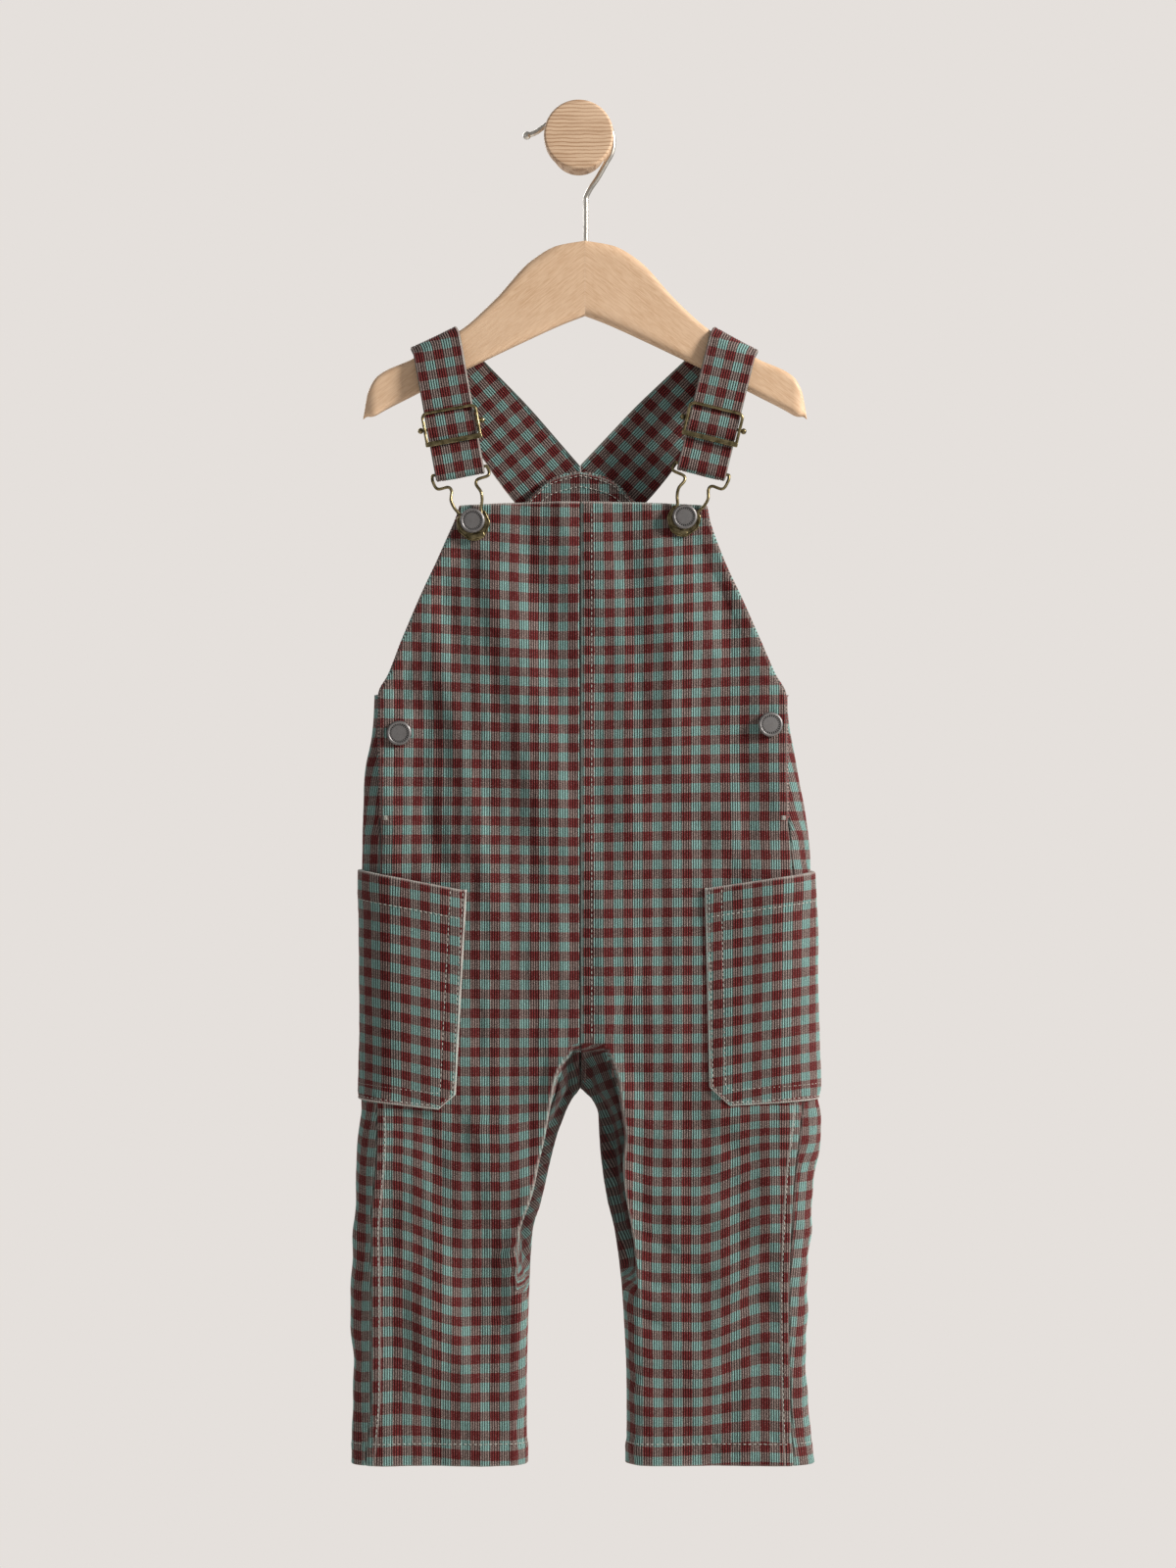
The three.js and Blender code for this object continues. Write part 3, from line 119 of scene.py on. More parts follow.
# Soft folds: a ridge, or a trough where its height is below nought. run is half its length,
# spread half its width, and lean its angle from upright in degrees.
FOLDS = {
    ("front", "L"): table(
        "reach drop run spread lean height",
        (62, 330, 75, 17, 4, 2.2), (98, 400, 60, 13, -6, -2.0), (34, 470, 90, 16, 3, -1.6),
        (58, 618, 48, 12, 62, -2.2), (66, 668, 44, 11, 78, 1.8), (92, 735, 60, 15, 12, 1.8),
        (30, 300, 60, 9, -7, -1.0), (84, 300, 40, 8, -16, -0.9), (112, 350, 34, 7, -8, 1.0),
        (104, 452, 30, 8, 20, -1.2), (24, 560, 40, 8, 30, -1.1), (100, 640, 34, 7, 70, -1.0),
        (52, 700, 30, 7, 66, -1.0), (112, 700, 36, 8, 20, 1.1), (62, 780, 42, 9, -9, -1.2),
        (104, 800, 34, 8, 8, 1.0), (44, 704, 22, 3.8, 62, -1.4), (52, 724, 22, 4.0, 68, -1.3),
        (40, 742, 20, 3.8, 58, -1.0),
    ),
    ("front", "R"): table(
        "reach drop run spread lean height",
        (66, 345, 80, 18, -3, 2.0), (103, 415, 55, 13, 8, -2.2), (38, 500, 85, 17, -4, -1.5),
        (60, 612, 46, 12, 58, -2.0), (58, 676, 42, 12, 74, 2.0), (88, 748, 62, 15, -10, 1.9),
        (36, 310, 66, 9, 5, -1.1), (90, 310, 44, 8, 14, -1.0), (114, 362, 30, 7, 6, 1.0),
        (98, 455, 32, 8, -18, -1.3), (26, 556, 40, 8, -28, -1.0), (104, 645, 34, 7, 66, -1.1),
        (50, 712, 32, 7, 60, -0.9), (108, 712, 34, 8, -16, 1.0), (60, 790, 40, 9, 8, -1.1),
        (106, 806, 32, 8, -6, 0.9), (46, 700, 22, 3.8, 60, -1.3), (54, 730, 22, 4.0, 66, -1.2),
        (42, 750, 20, 3.8, 60, -1.0),
    ),
    ("back", "L"): table(
        "reach drop run spread lean height",
        (55, 400, 90, 18, 5, -2.2), (60, 622, 46, 13, 60, -2.2), (86, 740, 60, 16, -8, 1.8),
        (28, 330, 60, 10, -6, -1.1), (82, 470, 50, 10, 9, 1.2), (70, 670, 40, 9, 72, 1.2),
        (60, 790, 40, 9, 6, -1.1),
    ),
    ("back", "R"): table(
        "reach drop run spread lean height",
        (52, 420, 85, 19, -4, -2.0), (62, 628, 46, 13, 63, -2.0), (84, 730, 60, 16, 9, 1.8),
        (30, 345, 56, 10, 7, -1.0), (86, 480, 46, 10, -8, 1.1), (66, 680, 42, 9, 70, 1.1),
        (58, 786, 42, 9, -7, -1.0),
    ),
}


def read(rows, column, at, key="drop"):
    """A smooth line through a table's rows that never swings past them."""
    x, y = rows[key], rows[column]
    at = np.clip(np.asarray(at, dtype=float), x[0], x[-1])
    k = np.clip(np.searchsorted(x, at, side="right") - 1, 0, len(x) - 2)
    span = np.diff(x)
    slope = np.diff(y) / span
    steer = np.zeros(len(x))
    steer[0], steer[-1] = slope[0], slope[-1]
    before, after = slope[:-1], slope[1:]
    same = before * after > 0
    steer[1:-1][same] = 2 * before[same] * after[same] / (before[same] + after[same])
    t = (at - x[k]) / span[k]
    return (
        (2 * t**3 - 3 * t**2 + 1) * y[k]
        + (t**3 - 2 * t**2 + t) * span[k] * steer[k]
        + (3 * t**2 - 2 * t**3) * y[k + 1]
        + (t**3 - t**2) * span[k] * steer[k + 1]
    )


def smooth(at, start, end):
    t = np.clip((np.asarray(at, dtype=float) - start) / (end - start), 0, 1)
    return t * t * (3 - 2 * t)


def bell(off, width):
    return np.exp(-((off / width) ** 2))


def length_along(line):
    """The length of a line of points, up to each of them."""
    return np.append(0, np.cumsum(np.linalg.norm(np.diff(line, axis=0), axis=1)))


def wander(seed, *at):
    """Soft noise about nought from a few sine waves, the same each run."""
    pick = np.random.default_rng(seed)
    total = 0
    for _ in range(5):
        turn = sum(pick.normal() * np.asarray(x, dtype=float) for x in at)
        total = total + np.sin(turn + pick.uniform(0, 6.28))
    return total / 3


def relief(face, side, reach, drop):
    folds = FOLDS[face, side]
    total = np.zeros(np.broadcast(reach, drop).shape)
    for k in range(len(folds["reach"])):
        lean = math.radians(folds["lean"][k])
        sideways = reach - folds["reach"][k]
        down = drop - folds["drop"][k]
        across = (sideways * math.cos(lean) - down * math.sin(lean)) / folds["spread"][k]
        along = (sideways * math.sin(lean) + down * math.cos(lean)) / folds["run"][k]
        total += folds["height"][k] * np.exp(-(across**2) - along**4)
    return total


DRAPE_SEEDS = {("front", "L"): 101, ("front", "R"): 131, ("back", "L"): 161, ("back", "R"): 191}
POCKET_ZONE = (62.0, 458.0, 622.0)


def drape(face, side, u, drop, low, high):
    """Soft unevenness of the hanging cloth, gone at its seams and calm under the pockets."""
    seed = DRAPE_SEEDS[face, side]
    legs = smooth(drop, 590, 690)
    total = 2.6 * wander(seed, u * 0.065 + drop * 0.008, drop * 0.016)
    total = total + 1.0 * (1 - 0.3 * legs) * wander(seed + 1, u * 0.15, drop * 0.035)
    total = total + 1.1 * legs * wander(seed + 2, u * 0.05, drop * 0.12)
    total = total + 0.34 * wander(seed + 3, u * 0.42, drop * 0.12)
    edge = smooth(u - low, 0, 14) * smooth(high - u, 0, 14)
    if face == "back":
        edge = edge * smooth(drop, 236, 275)
    else:
        for reach, at_drop, size in button_spots(side):
            near = np.exp(-((np.hypot(u - reach, drop - at_drop) / size) ** 4))
            edge = edge * (1 - near)
    covered = smooth(u, POCKET_ZONE[0], POCKET_ZONE[0] + 8)
    covered = covered * smooth(drop, POCKET_ZONE[1], POCKET_ZONE[1] + 14)
    covered = covered * smooth(drop, POCKET_ZONE[2], POCKET_ZONE[2] - 14)
    return total * edge * (1 - 0.85 * covered)


BUTTONS = {
    "L": dict(bib=(-71.3, 243.9), side=(114.5, 378.5)),
    "R": dict(bib=(63.2, 241.4), side=(120.0, 373.0)),
}


def button_spots(side):
    """Reach, drop and size of the places where the fastenings hold the bib flat."""
    across, drop = BUTTONS[side]["bib"]
    yield abs(across - SEAM_X) - SEAM_GAP / 2, drop, 19.0
    yield *BUTTONS[side]["side"], 14.0


class Section:
    """The garment's cross-section at one drop."""

    def __init__(self, side, drop):
        self.side, self.drop = side, drop
        self.inner = float(read(CROTCH, "inner" + side, drop))
        self.fold = float(read(CROTCH, "fold" + side, drop))
        self.edge = float(read(OUTLINE, "edge" + side, drop))
        self.out = float(read(OUTLINE, "out" + side, drop))
        self.flare = float(read(OUTLINE, "flare", drop))
        self.turn_front = float(read(CROTCH, "turnFront", drop))
        self.turn_back = float(read(CROTCH, "turnBack", drop))
        self.round = float(read(DEPTHS, "round", drop))
        self.lap = float(read(DEPTHS, "lap", drop))
        self.inset = float(read(DEPTHS, "inset", drop))
        self.front = float(read(DEPTHS, "front", drop))
        self.back = float(read(DEPTHS, "back", drop))
        self.middle = (self.front + self.back) / 2

    def roundness(self, reach, out, turn):
        side = np.clip((reach - (out - self.round)) / self.round, 0, 0.999)
        inside = np.clip((self.fold - reach) / max(self.fold - self.inner, 1), 0, 1)
        return np.sqrt(1 - side**2) * (1 - turn * (1 - np.sqrt(1 - inside**2)))

    def face(self, face, reach):
        front = face == "front"
        turn = self.turn_front if front else self.turn_back
        out = self.out + self.flare if front else self.out
        half = (self.front if front else self.back) - self.middle
        share = self.roundness(reach, out, turn)
        sign = 1 if front else -1
        folds = relief(face, self.side, reach, self.drop) * np.clip(share, 0, 1)
        return self.middle + half * share + sign * folds

    def wrap(self, angle):
        front = angle < math.pi / 2
        half = np.where(front, self.front - self.inset - self.middle, self.middle - self.back)
        reach = self.out - self.round + self.round * np.sin(angle)
        swell = np.where(
            front,
            relief("front", self.side, reach, self.drop),
            -relief("back", self.side, reach, self.drop),
        )
        return reach, self.middle + half * np.cos(angle) + swell * np.abs(np.cos(angle))

    def angle_at(self, reach):
        return math.asin(min(1, max(-1, (reach - self.out + self.round) / self.round)))


def crowded(start, end, count):
    """Points between two ends, closer together near both."""
    return start + (end - start) * (1 - np.cos(np.linspace(0, math.pi, count))) / 2


def front_path(side, drop):
    at = Section(side, drop)
    reach = crowded(at.inner, at.edge - SEAM_GAP / 2, 200)
    return reach, at.face("front", reach), 1, len(reach)


def back_section(side, drop):
    if drop >= LEVEL_TOP:
        return Section(side, drop)
    at = Section(side, LEVEL_TOP)
    at.drop = drop
    at.back = float(read(DEPTHS, "back", drop))
    return at


def back_path(side, drop):
    at = back_section(side, drop)
    flat = crowded(at.inner, at.out - at.round, 140)
    start = at.angle_at(at.edge - at.lap + SEAM_GAP / 2)
    turned = np.linspace(math.pi, start, 120)[1:]
    reach, depth = at.wrap(turned)
    return np.append(flat, reach), np.append(at.face("back", flat), depth), -1, 140 + 50


def pocket_inner(side, drop):
    size = POCKETS[side]
    share = (drop - size["top_inner"]) / (size["foot"] - size["top_inner"])
    return size["inner_top"] + (size["inner_foot"] - size["inner_top"]) * share


def pocket_path(side, drop):
    at = Section(side, drop)
    inner = pocket_inner(side, drop)
    front = np.linspace(inner - POCKET_SPARE, at.edge - SEAM_GAP / 2, 90)
    turned = np.linspace(at.angle_at(at.edge + SEAM_GAP / 2), math.pi, 120)
    reach, depth = at.wrap(turned)
    back = np.linspace(at.out - at.round, inner + POCKET_BACK_SHIFT - POCKET_SPARE, 40)[1:]
    return (
        np.concatenate([front, reach, back]),
        np.concatenate([at.face("front", front), depth, at.face("back", back)]),
        1,
        90,
    )


class Surface:
    """A curved face of the garment, unrolled: u runs round it and drop runs down it.
    u equals the reach at HOME_REACH, and grows with the length along the cloth."""

    SPARE = 6.0
    U_STEP = 0.5

    def __init__(self, side, path, drops):
        self.side, self.sign = side, (1 if side == "R" else -1)
        self.drops = np.asarray(drops, dtype=float)
        courses = []
        for drop in self.drops:
            reach, depth, turn, rising = path(side, float(drop))
            length = np.append(0, np.cumsum(np.hypot(np.diff(reach), np.diff(depth))))
            home = max(HOME_REACH, reach[0])
            u = length - np.interp(home, reach[:rising], length[:rising]) + home
            courses.append((u, reach, depth, turn))
        self.start = np.array([c[0][0] for c in courses])
        self.end = np.array([c[0][-1] for c in courses])
        self.low = math.floor(self.start.min() - self.SPARE)
        self.u = np.arange(self.low, self.end.max() + self.SPARE, self.U_STEP)
        shape = (len(courses), len(self.u))
        self.grid = np.zeros((4,) + shape)
        for k, (u, reach, depth, turn) in enumerate(courses):
            for n, line in enumerate((reach, depth)):
                ahead = (line[-1] - line[-3]) / (u[-1] - u[-3])
                behind = (line[2] - line[0]) / (u[2] - u[0])
                inside = np.interp(self.u, u, line)
                over, under = self.u > u[-1], self.u < u[0]
                inside[over] = line[-1] + ahead * (self.u[over] - u[-1])
                inside[under] = line[0] + behind * (self.u[under] - u[0])
                self.grid[n, k] = inside
            across = np.gradient(self.grid[0, k], self.u)
            along = np.gradient(self.grid[1, k], self.u)
            size = np.hypot(across, along) + 1e-9
            self.grid[2, k] = -turn * along / size
            self.grid[3, k] = turn * across / size

    def limits(self, drop):
        return np.interp(drop, self.drops, self.start), np.interp(drop, self.drops, self.end)

    def at(self, u, drop):
        u, drop = np.broadcast_arrays(np.asarray(u, float), np.asarray(drop, float))
        j = np.clip((u - self.low) / self.U_STEP, 0, len(self.u) - 1.001)
        left = j.astype(int)
        b = j - left
        k = np.clip(np.searchsorted(self.drops, drop, side="right") - 1, 0, len(self.drops) - 2)
        a = np.clip((drop - self.drops[k]) / (self.drops[k + 1] - self.drops[k]), 0, 1)
        g = self.grid
        upper = g[:, k, left] * (1 - b) + g[:, k, left + 1] * b
        lower = g[:, k + 1, left] * (1 - b) + g[:, k + 1, left + 1] * b
        return upper * (1 - a) + lower * a

    def lay(self, u, drop, lift=0.0, shown_drop=None):
        """Points in metres, lifted off the face along its outward direction."""
        reach, depth, out_reach, out_depth = self.at(u, drop)
        x = HANGER_X + SEAM_X + self.sign * (reach + out_reach * lift + SEAM_GAP / 2)
        y = -(depth + out_depth * lift)
        z = -np.broadcast_to(drop if shown_drop is None else shown_drop, x.shape)
        return np.stack([x, y, z], axis=-1) * MM


def zipped(a, a_at, b, b_at):
    """Triangles between two lines of points, matched by their places along the line."""
    steps = np.concatenate([a_at[1:], b_at[1:]])
    kind = np.concatenate([np.zeros(len(a_at) - 1, int), np.ones(len(b_at) - 1, int)])
    order = np.lexsort((kind, steps))
    kind = kind[order]
    i = np.cumsum(kind == 0) - (kind == 0)
    j = np.cumsum(kind == 1) - (kind == 1)
    i, j = np.minimum(i, len(a) - 1), np.minimum(j, len(b) - 1)
    on_a = kind == 0
    made = np.empty((len(kind), 3), int)
    made[on_a] = np.stack([a[i[on_a]], a[i[on_a] + 1], b[j[on_a]]], axis=1)
    on_b = ~on_a
    made[on_b] = np.stack([b[j[on_b] + 1], b[j[on_b]], a[i[on_b]]], axis=1)
    return made


def make_mesh(name, points, triangles, cloth=None, inside=None, sharp=None):
    mesh = bpy.data.meshes.new(name)
    mesh.vertices.add(len(points))
    mesh.vertices.foreach_set("co", np.ascontiguousarray(points, dtype=np.float32).ravel())
    mesh.loops.add(len(triangles) * 3)
    mesh.loops.foreach_set("vertex_index", np.ascontiguousarray(triangles, dtype=np.int32).ravel())
    mesh.polygons.add(len(triangles))
    mesh.polygons.foreach_set("loop_start", np.arange(len(triangles), dtype=np.int32) * 3)
    if inside is not None:
        mesh.polygons.foreach_set("material_index", np.asarray(inside, dtype=np.int32))
    mesh.update(calc_edges=True)
    mesh.validate()
    mesh.shade_smooth()
    if cloth is not None:
        layer = mesh.attributes.new("cloth", "FLOAT_VECTOR", "POINT")
        layer.data.foreach_set("vector", np.ascontiguousarray(cloth[:, :3], dtype=np.float32).ravel())
        # Pale rims, edge wear with painted highlight, above nought; painted shade in the crotch fold below
        # nought
        layer = mesh.attributes.new("wear_and_painted_light", "FLOAT", "POINT")
        layer.data.foreach_set("value", np.ascontiguousarray(cloth[:, 3], dtype=np.float32))
    if sharp is not None:
        mesh.set_sharp_from_angle(angle=math.radians(sharp))
    made = bpy.data.objects.new(name, mesh)
    bpy.context.scene.collection.objects.link(made)
    return made


def outward(points, triangles):
    """The same triangles, turned so that the closed shape's faces point out."""
    a, b, c = (points[triangles[:, k]] for k in range(3))
    middle = points.mean(axis=0)
    volume = np.einsum("ij,ij->i", a - middle, np.cross(b - middle, c - middle)).sum()
    return triangles if volume > 0 else triangles[:, ::-1]


class Builder:
    """Collects closed shapes into one mesh."""

    def __init__(self):
        self.points, self.triangles, self.cloth, self.inside = [], [], [], []
        self.count = 0

    def add(self, points, triangles, cloth=None, inside=None):
        triangles = outward(points, triangles)
        self.points.append(points)
        self.triangles.append(triangles + self.count)
        self.cloth.append(np.zeros((len(points), 4)) if cloth is None else cloth)
        self.inside.append(np.zeros(len(triangles), int) if inside is None else inside)
        self.count += len(points)

    def make(self, name, sharp=None):
        return make_mesh(
            name,
            np.concatenate(self.points),
            np.concatenate(self.triangles),
            np.concatenate(self.cloth),
            np.concatenate(self.inside),
            sharp,
        )


def wall(builder, rows, outer, inner, cloth, row_skip=3, column_skip=8):
    """A closed wall of cloth. rows holds each row's u values; outer and inner give a row's points,
    and cloth its place in the check. The hidden skin takes every row_skip-th row and column_skip-th
    column."""
    count = 0
    points, patterns, triangles = [], [], []
    outer_ids, inner_ids = [], []
    for k, u in enumerate(rows):
        points.append(outer(k, u))
        patterns.append(cloth(k, u))
        outer_ids.append(np.arange(count, count + len(u)))
        count += len(u)
    kept = sorted(set(list(range(0, len(rows), row_skip)) + [len(rows) - 1]))
    inner_us = []
    for k in kept:
        u = rows[k]
        some = np.unique(np.append(np.arange(0, len(u), column_skip), len(u) - 1))
        inner_us.append(u[some])
        points.append(inner(k, u[some]))
        patterns.append(cloth(k, u[some]))
        inner_ids.append(np.arange(count, count + len(some)))
        count += len(some)
    for k in range(len(rows) - 1):
        triangles.append(zipped(outer_ids[k], rows[k], outer_ids[k + 1], rows[k + 1]))
    skin = sum(len(t) for t in triangles)
    for k in range(len(kept) - 1):
        made = zipped(inner_ids[k], inner_us[k], inner_ids[k + 1], inner_us[k + 1])
        triangles.append(made[:, ::-1])
    hidden = sum(len(t) for t in triangles) - skin
    triangles.append(zipped(inner_ids[0], inner_us[0], outer_ids[0], rows[0]))
    triangles.append(zipped(outer_ids[-1], rows[-1], inner_ids[-1], inner_us[-1]))
    all_rows = np.arange(len(rows), dtype=float)
    some_rows = np.array(kept, dtype=float)
    first = np.array([ids[0] for ids in outer_ids])
    last = np.array([ids[-1] for ids in outer_ids])
    inner_first = np.array([ids[0] for ids in inner_ids])
    inner_last = np.array([ids[-1] for ids in inner_ids])
    triangles.append(zipped(first, all_rows, inner_first, some_rows))
    triangles.append(zipped(inner_last, some_rows, last, all_rows))
    total = np.concatenate(triangles)
    inside = np.zeros(len(total), int)
    inside[skin:skin + hidden] = 1
    builder.add(np.concatenate(points), total, np.concatenate(patterns), inside)


def columns(low, high, step=WALE / COLUMNS_A_WALE):
    """Both ends of a row and the wales' lines between them."""
    first = math.ceil((low + step * 0.4) / step)
    last = math.floor((high - step * 0.4) / step)
    return np.concatenate([[low], np.arange(first, last + 1) * step, [high]])


def wale(u):
    return WALE_HEIGHT * (0.5 - 0.5 * np.cos(2 * math.pi * np.asarray(u) / WALE)) ** 0.7


def uneven_wale(seed, u, along):
    return wale(u) * (1 + 0.2 * wander(seed, u * 0.8, along))


def check_place(side, u, drop, shift=(0.0, 0.0), wear_and_painted_light=0.0):
    """Where a point lies in the check: checks across, checks down, wales across, and its wear and painted
    light: pale rims of edge wear and painted highlight above nought, painted shade in the crotch fold below
    it.
    """
    start_u, start_drop = CHECK_START[side]
    u, drop = np.broadcast_arrays(np.asarray(u, dtype=float), np.asarray(drop, dtype=float))
    sway = 0.5 * wander(81, u * 0.03, drop * 0.02)
    sag = 0.9 * wander(82, u * 0.022, drop * 0.016)
    if side is not None:
        sag = sag + 6.5 * bell(u, 58) * (1 - smooth(drop, 245, 500))
        sag = sag + 1.0 * wander(83, u * 0.05, drop * 0.05) * smooth(drop, 590, 680)
        legs = smooth(drop, 596, 655) * (1 - 0.75 * smooth(drop, 760, 838))
        sag = sag - legs * (13 * smooth(u, 72, 122) - 9 * smooth(u, 135, 165) + 7 * smooth(u, 50, 18))
    across = (u - start_u + shift[0] + sway) / CHECK_WIDTH
    down = (drop - start_drop + shift[1] - sag) / CHECK_LENGTH
    across, down = np.broadcast_arrays(across, down)
    return np.stack([across, down, u / WALE, wear_and_painted_light + 0 * across], axis=-1)


def tube(points, radius, sides=10, ends=True, cap_rounds=3):
    """A closed round rod along a line of points. radius is one number or one for each point."""
    points = np.asarray(points, dtype=float)
    count = len(points)
    radius = np.broadcast_to(np.asarray(radius, dtype=float), (count,)).copy()
    along = np.gradient(points, axis=0)
    along /= np.linalg.norm(along, axis=1)[:, None]
    side = np.zeros_like(points)
    guess = np.array([0.0, 1.0, 0.0]) if abs(along[0][1]) < 0.9 else np.array([1.0, 0.0, 0.0])
    for k in range(count):
        guess = guess - along[k] * guess.dot(along[k])
        guess /= np.linalg.norm(guess)
        side[k] = guess
    up = np.cross(along, side)
    rings = []
    if ends:
        for k in range(cap_rounds, 0, -1):
            turn = math.pi / 2 * k / (cap_rounds + 0.3)
            rings.append((0, math.cos(turn), -math.sin(turn)))
    rings += [(k, 1.0, 0.0) for k in range(count)]
    if ends:
        for k in range(1, cap_rounds + 1):
            turn = math.pi / 2 * k / (cap_rounds + 0.3)
            rings.append((count - 1, math.cos(turn), math.sin(turn)))
    angle = np.linspace(0, 2 * math.pi, sides, endpoint=False)
    verts = []
    for k, share, push in rings:
        centre = points[k] + along[k] * radius[k] * push
        spoke = np.cos(angle)[:, None] * side[k] + np.sin(angle)[:, None] * up[k]
        verts.append(centre + spoke * radius[k] * share)
    verts.append((points[0] - along[0] * radius[0] * (1.0 if ends else 0.0))[None])
    verts.append((points[-1] + along[-1] * radius[-1] * (1.0 if ends else 0.0))[None])
    verts = np.concatenate(verts)
    total = len(rings)
    faces = []
    k = np.arange(sides)
    nxt = (k + 1) % sides
    for ring in range(total - 1):
        a, b = ring * sides, (ring + 1) * sides
        faces.append(np.stack([a + k, a + nxt, b + nxt], axis=1))
        faces.append(np.stack([a + k, b + nxt, b + k], axis=1))
    first, last = total * sides, total * sides + 1
    faces.append(np.stack([np.full(sides, first), nxt, k], axis=1))
    end = (total - 1) * sides
    faces.append(np.stack([np.full(sides, last), end + k, end + nxt], axis=1))
    return verts, np.concatenate(faces)


def resampled(points, step):
    points = np.asarray(points, dtype=float)
    length = length_along(points)
    count = max(2, int(round(length[-1] / step)) + 1)
    at = np.linspace(0, length[-1], count)
    return np.stack([np.interp(at, length, points[:, k]) for k in range(3)], axis=1), at


def curve_through(points, per_span=8):
    """A Catmull-Rom line through points."""
    points = np.asarray(points, dtype=float)
    padded = np.vstack([2 * points[0] - points[1], points, 2 * points[-1] - points[-2]])
    t = np.linspace(0, 1, per_span, endpoint=False)[:, None]
    spans = []
    for k in range(1, len(padded) - 2):
        a, b, c, d = padded[k - 1:k + 3]
        spans.append(
            0.5 * (2 * b + (c - a) * t + (2 * a - 5 * b + 4 * c - d) * t**2
                   + (3 * b - a - 3 * c + d) * t**3)
        )
    return np.vstack(spans + [points[-1:]])


class Paint:
    """A material whose nodes are joined by short calls."""

    def __init__(self, name):
        self.material = bpy.data.materials.new(name)
        self.material.use_nodes = True
        self.tree = self.material.node_tree
        self.shader = self.tree.nodes["Principled BSDF"]

    def feed(self, socket, value):
        if value is None:
            return
        if isinstance(value, bpy.types.NodeSocket):
            self.tree.links.new(value, socket)
        else:
            socket.default_value = value

    def node(self, kind, *inputs, **settings):
        made = self.tree.nodes.new(kind)
        for key, value in settings.items():
            setattr(made, key, value)
        for k, value in enumerate(inputs):
            self.feed(made.inputs[k], value)
        return made

    def math(self, operation, *inputs):
        return self.node("ShaderNodeMath", *inputs, operation=operation).outputs[0]

    def times(self, a, b):
        return self.math("MULTIPLY", a, b)

    def plus(self, a, b):
        return self.math("ADD", a, b)

    def minus(self, a, b):
        return self.math("SUBTRACT", a, b)

    def place(self, name):
        return self.node("ShaderNodeAttribute", attribute_name=name).outputs["Vector"]

    def solid_place(self):
        return self.node("ShaderNodeTexCoord").outputs["Object"]

    def split(self, vector):
        return self.node("ShaderNodeSeparateXYZ", vector).outputs

    def join(self, x, y, z):
        return self.node("ShaderNodeCombineXYZ", x, y, z).outputs[0]

    def scaled(self, vector, by):
        return self.node("ShaderNodeVectorMath", vector, by, operation="MULTIPLY").outputs[0]

    def noise(self, vector, scale, detail=2.0, roughness=0.5, distortion=0.0):
        made = self.node("ShaderNodeTexNoise")
        self.feed(made.inputs["Vector"], vector)
        for key, value in (
            ("Scale", scale), ("Detail", detail), ("Roughness", roughness), ("Distortion", distortion),
        ):
            made.inputs[key].default_value = value
        return made.outputs["Fac"]

    def range(self, value, low, high, to_low=0.0, to_high=1.0, smooth=True):
        kind = "SMOOTHSTEP" if smooth else "LINEAR"
        made = self.node("ShaderNodeMapRange", value, low, high, to_low, to_high, interpolation_type=kind)
        return made.outputs[0]

    def mix(self, share, a, b, blend="MIX"):
        made = self.node("ShaderNodeMix", data_type="RGBA", blend_type=blend)
        self.feed(made.inputs[0], share)
        self.feed(made.inputs[6], a)
        self.feed(made.inputs[7], b)
        return made.outputs[2]

    def bump(self, height, strength, distance, normal=None):
        made = self.node("ShaderNodeBump")
        made.inputs["Strength"].default_value = strength
        made.inputs["Distance"].default_value = distance
        self.feed(made.inputs["Height"], height)
        self.feed(made.inputs["Normal"], normal)
        return made.outputs["Normal"]

    def finish(self, **sockets):
        for name, value in sockets.items():
            self.feed(self.shader.inputs[name.replace("_", " ")], value)
        return self.material


def linear(share):
    """The strength of light behind a screen value from 0 to 1."""
    return share / 12.92 if share <= 0.04045 else ((share + 0.055) / 1.055) ** 2.4


def colour(red, green, blue):
    """A colour from its screen values, as the shader wants it."""
    return tuple(linear(c / 255) for c in (red, green, blue)) + (1.0,)


TEAL = colour(128, 164, 158)
PALE_FLECK = colour(158, 138, 131)
DARK_FLECK = colour(84, 64, 61)
RED = colour(106, 33, 33)


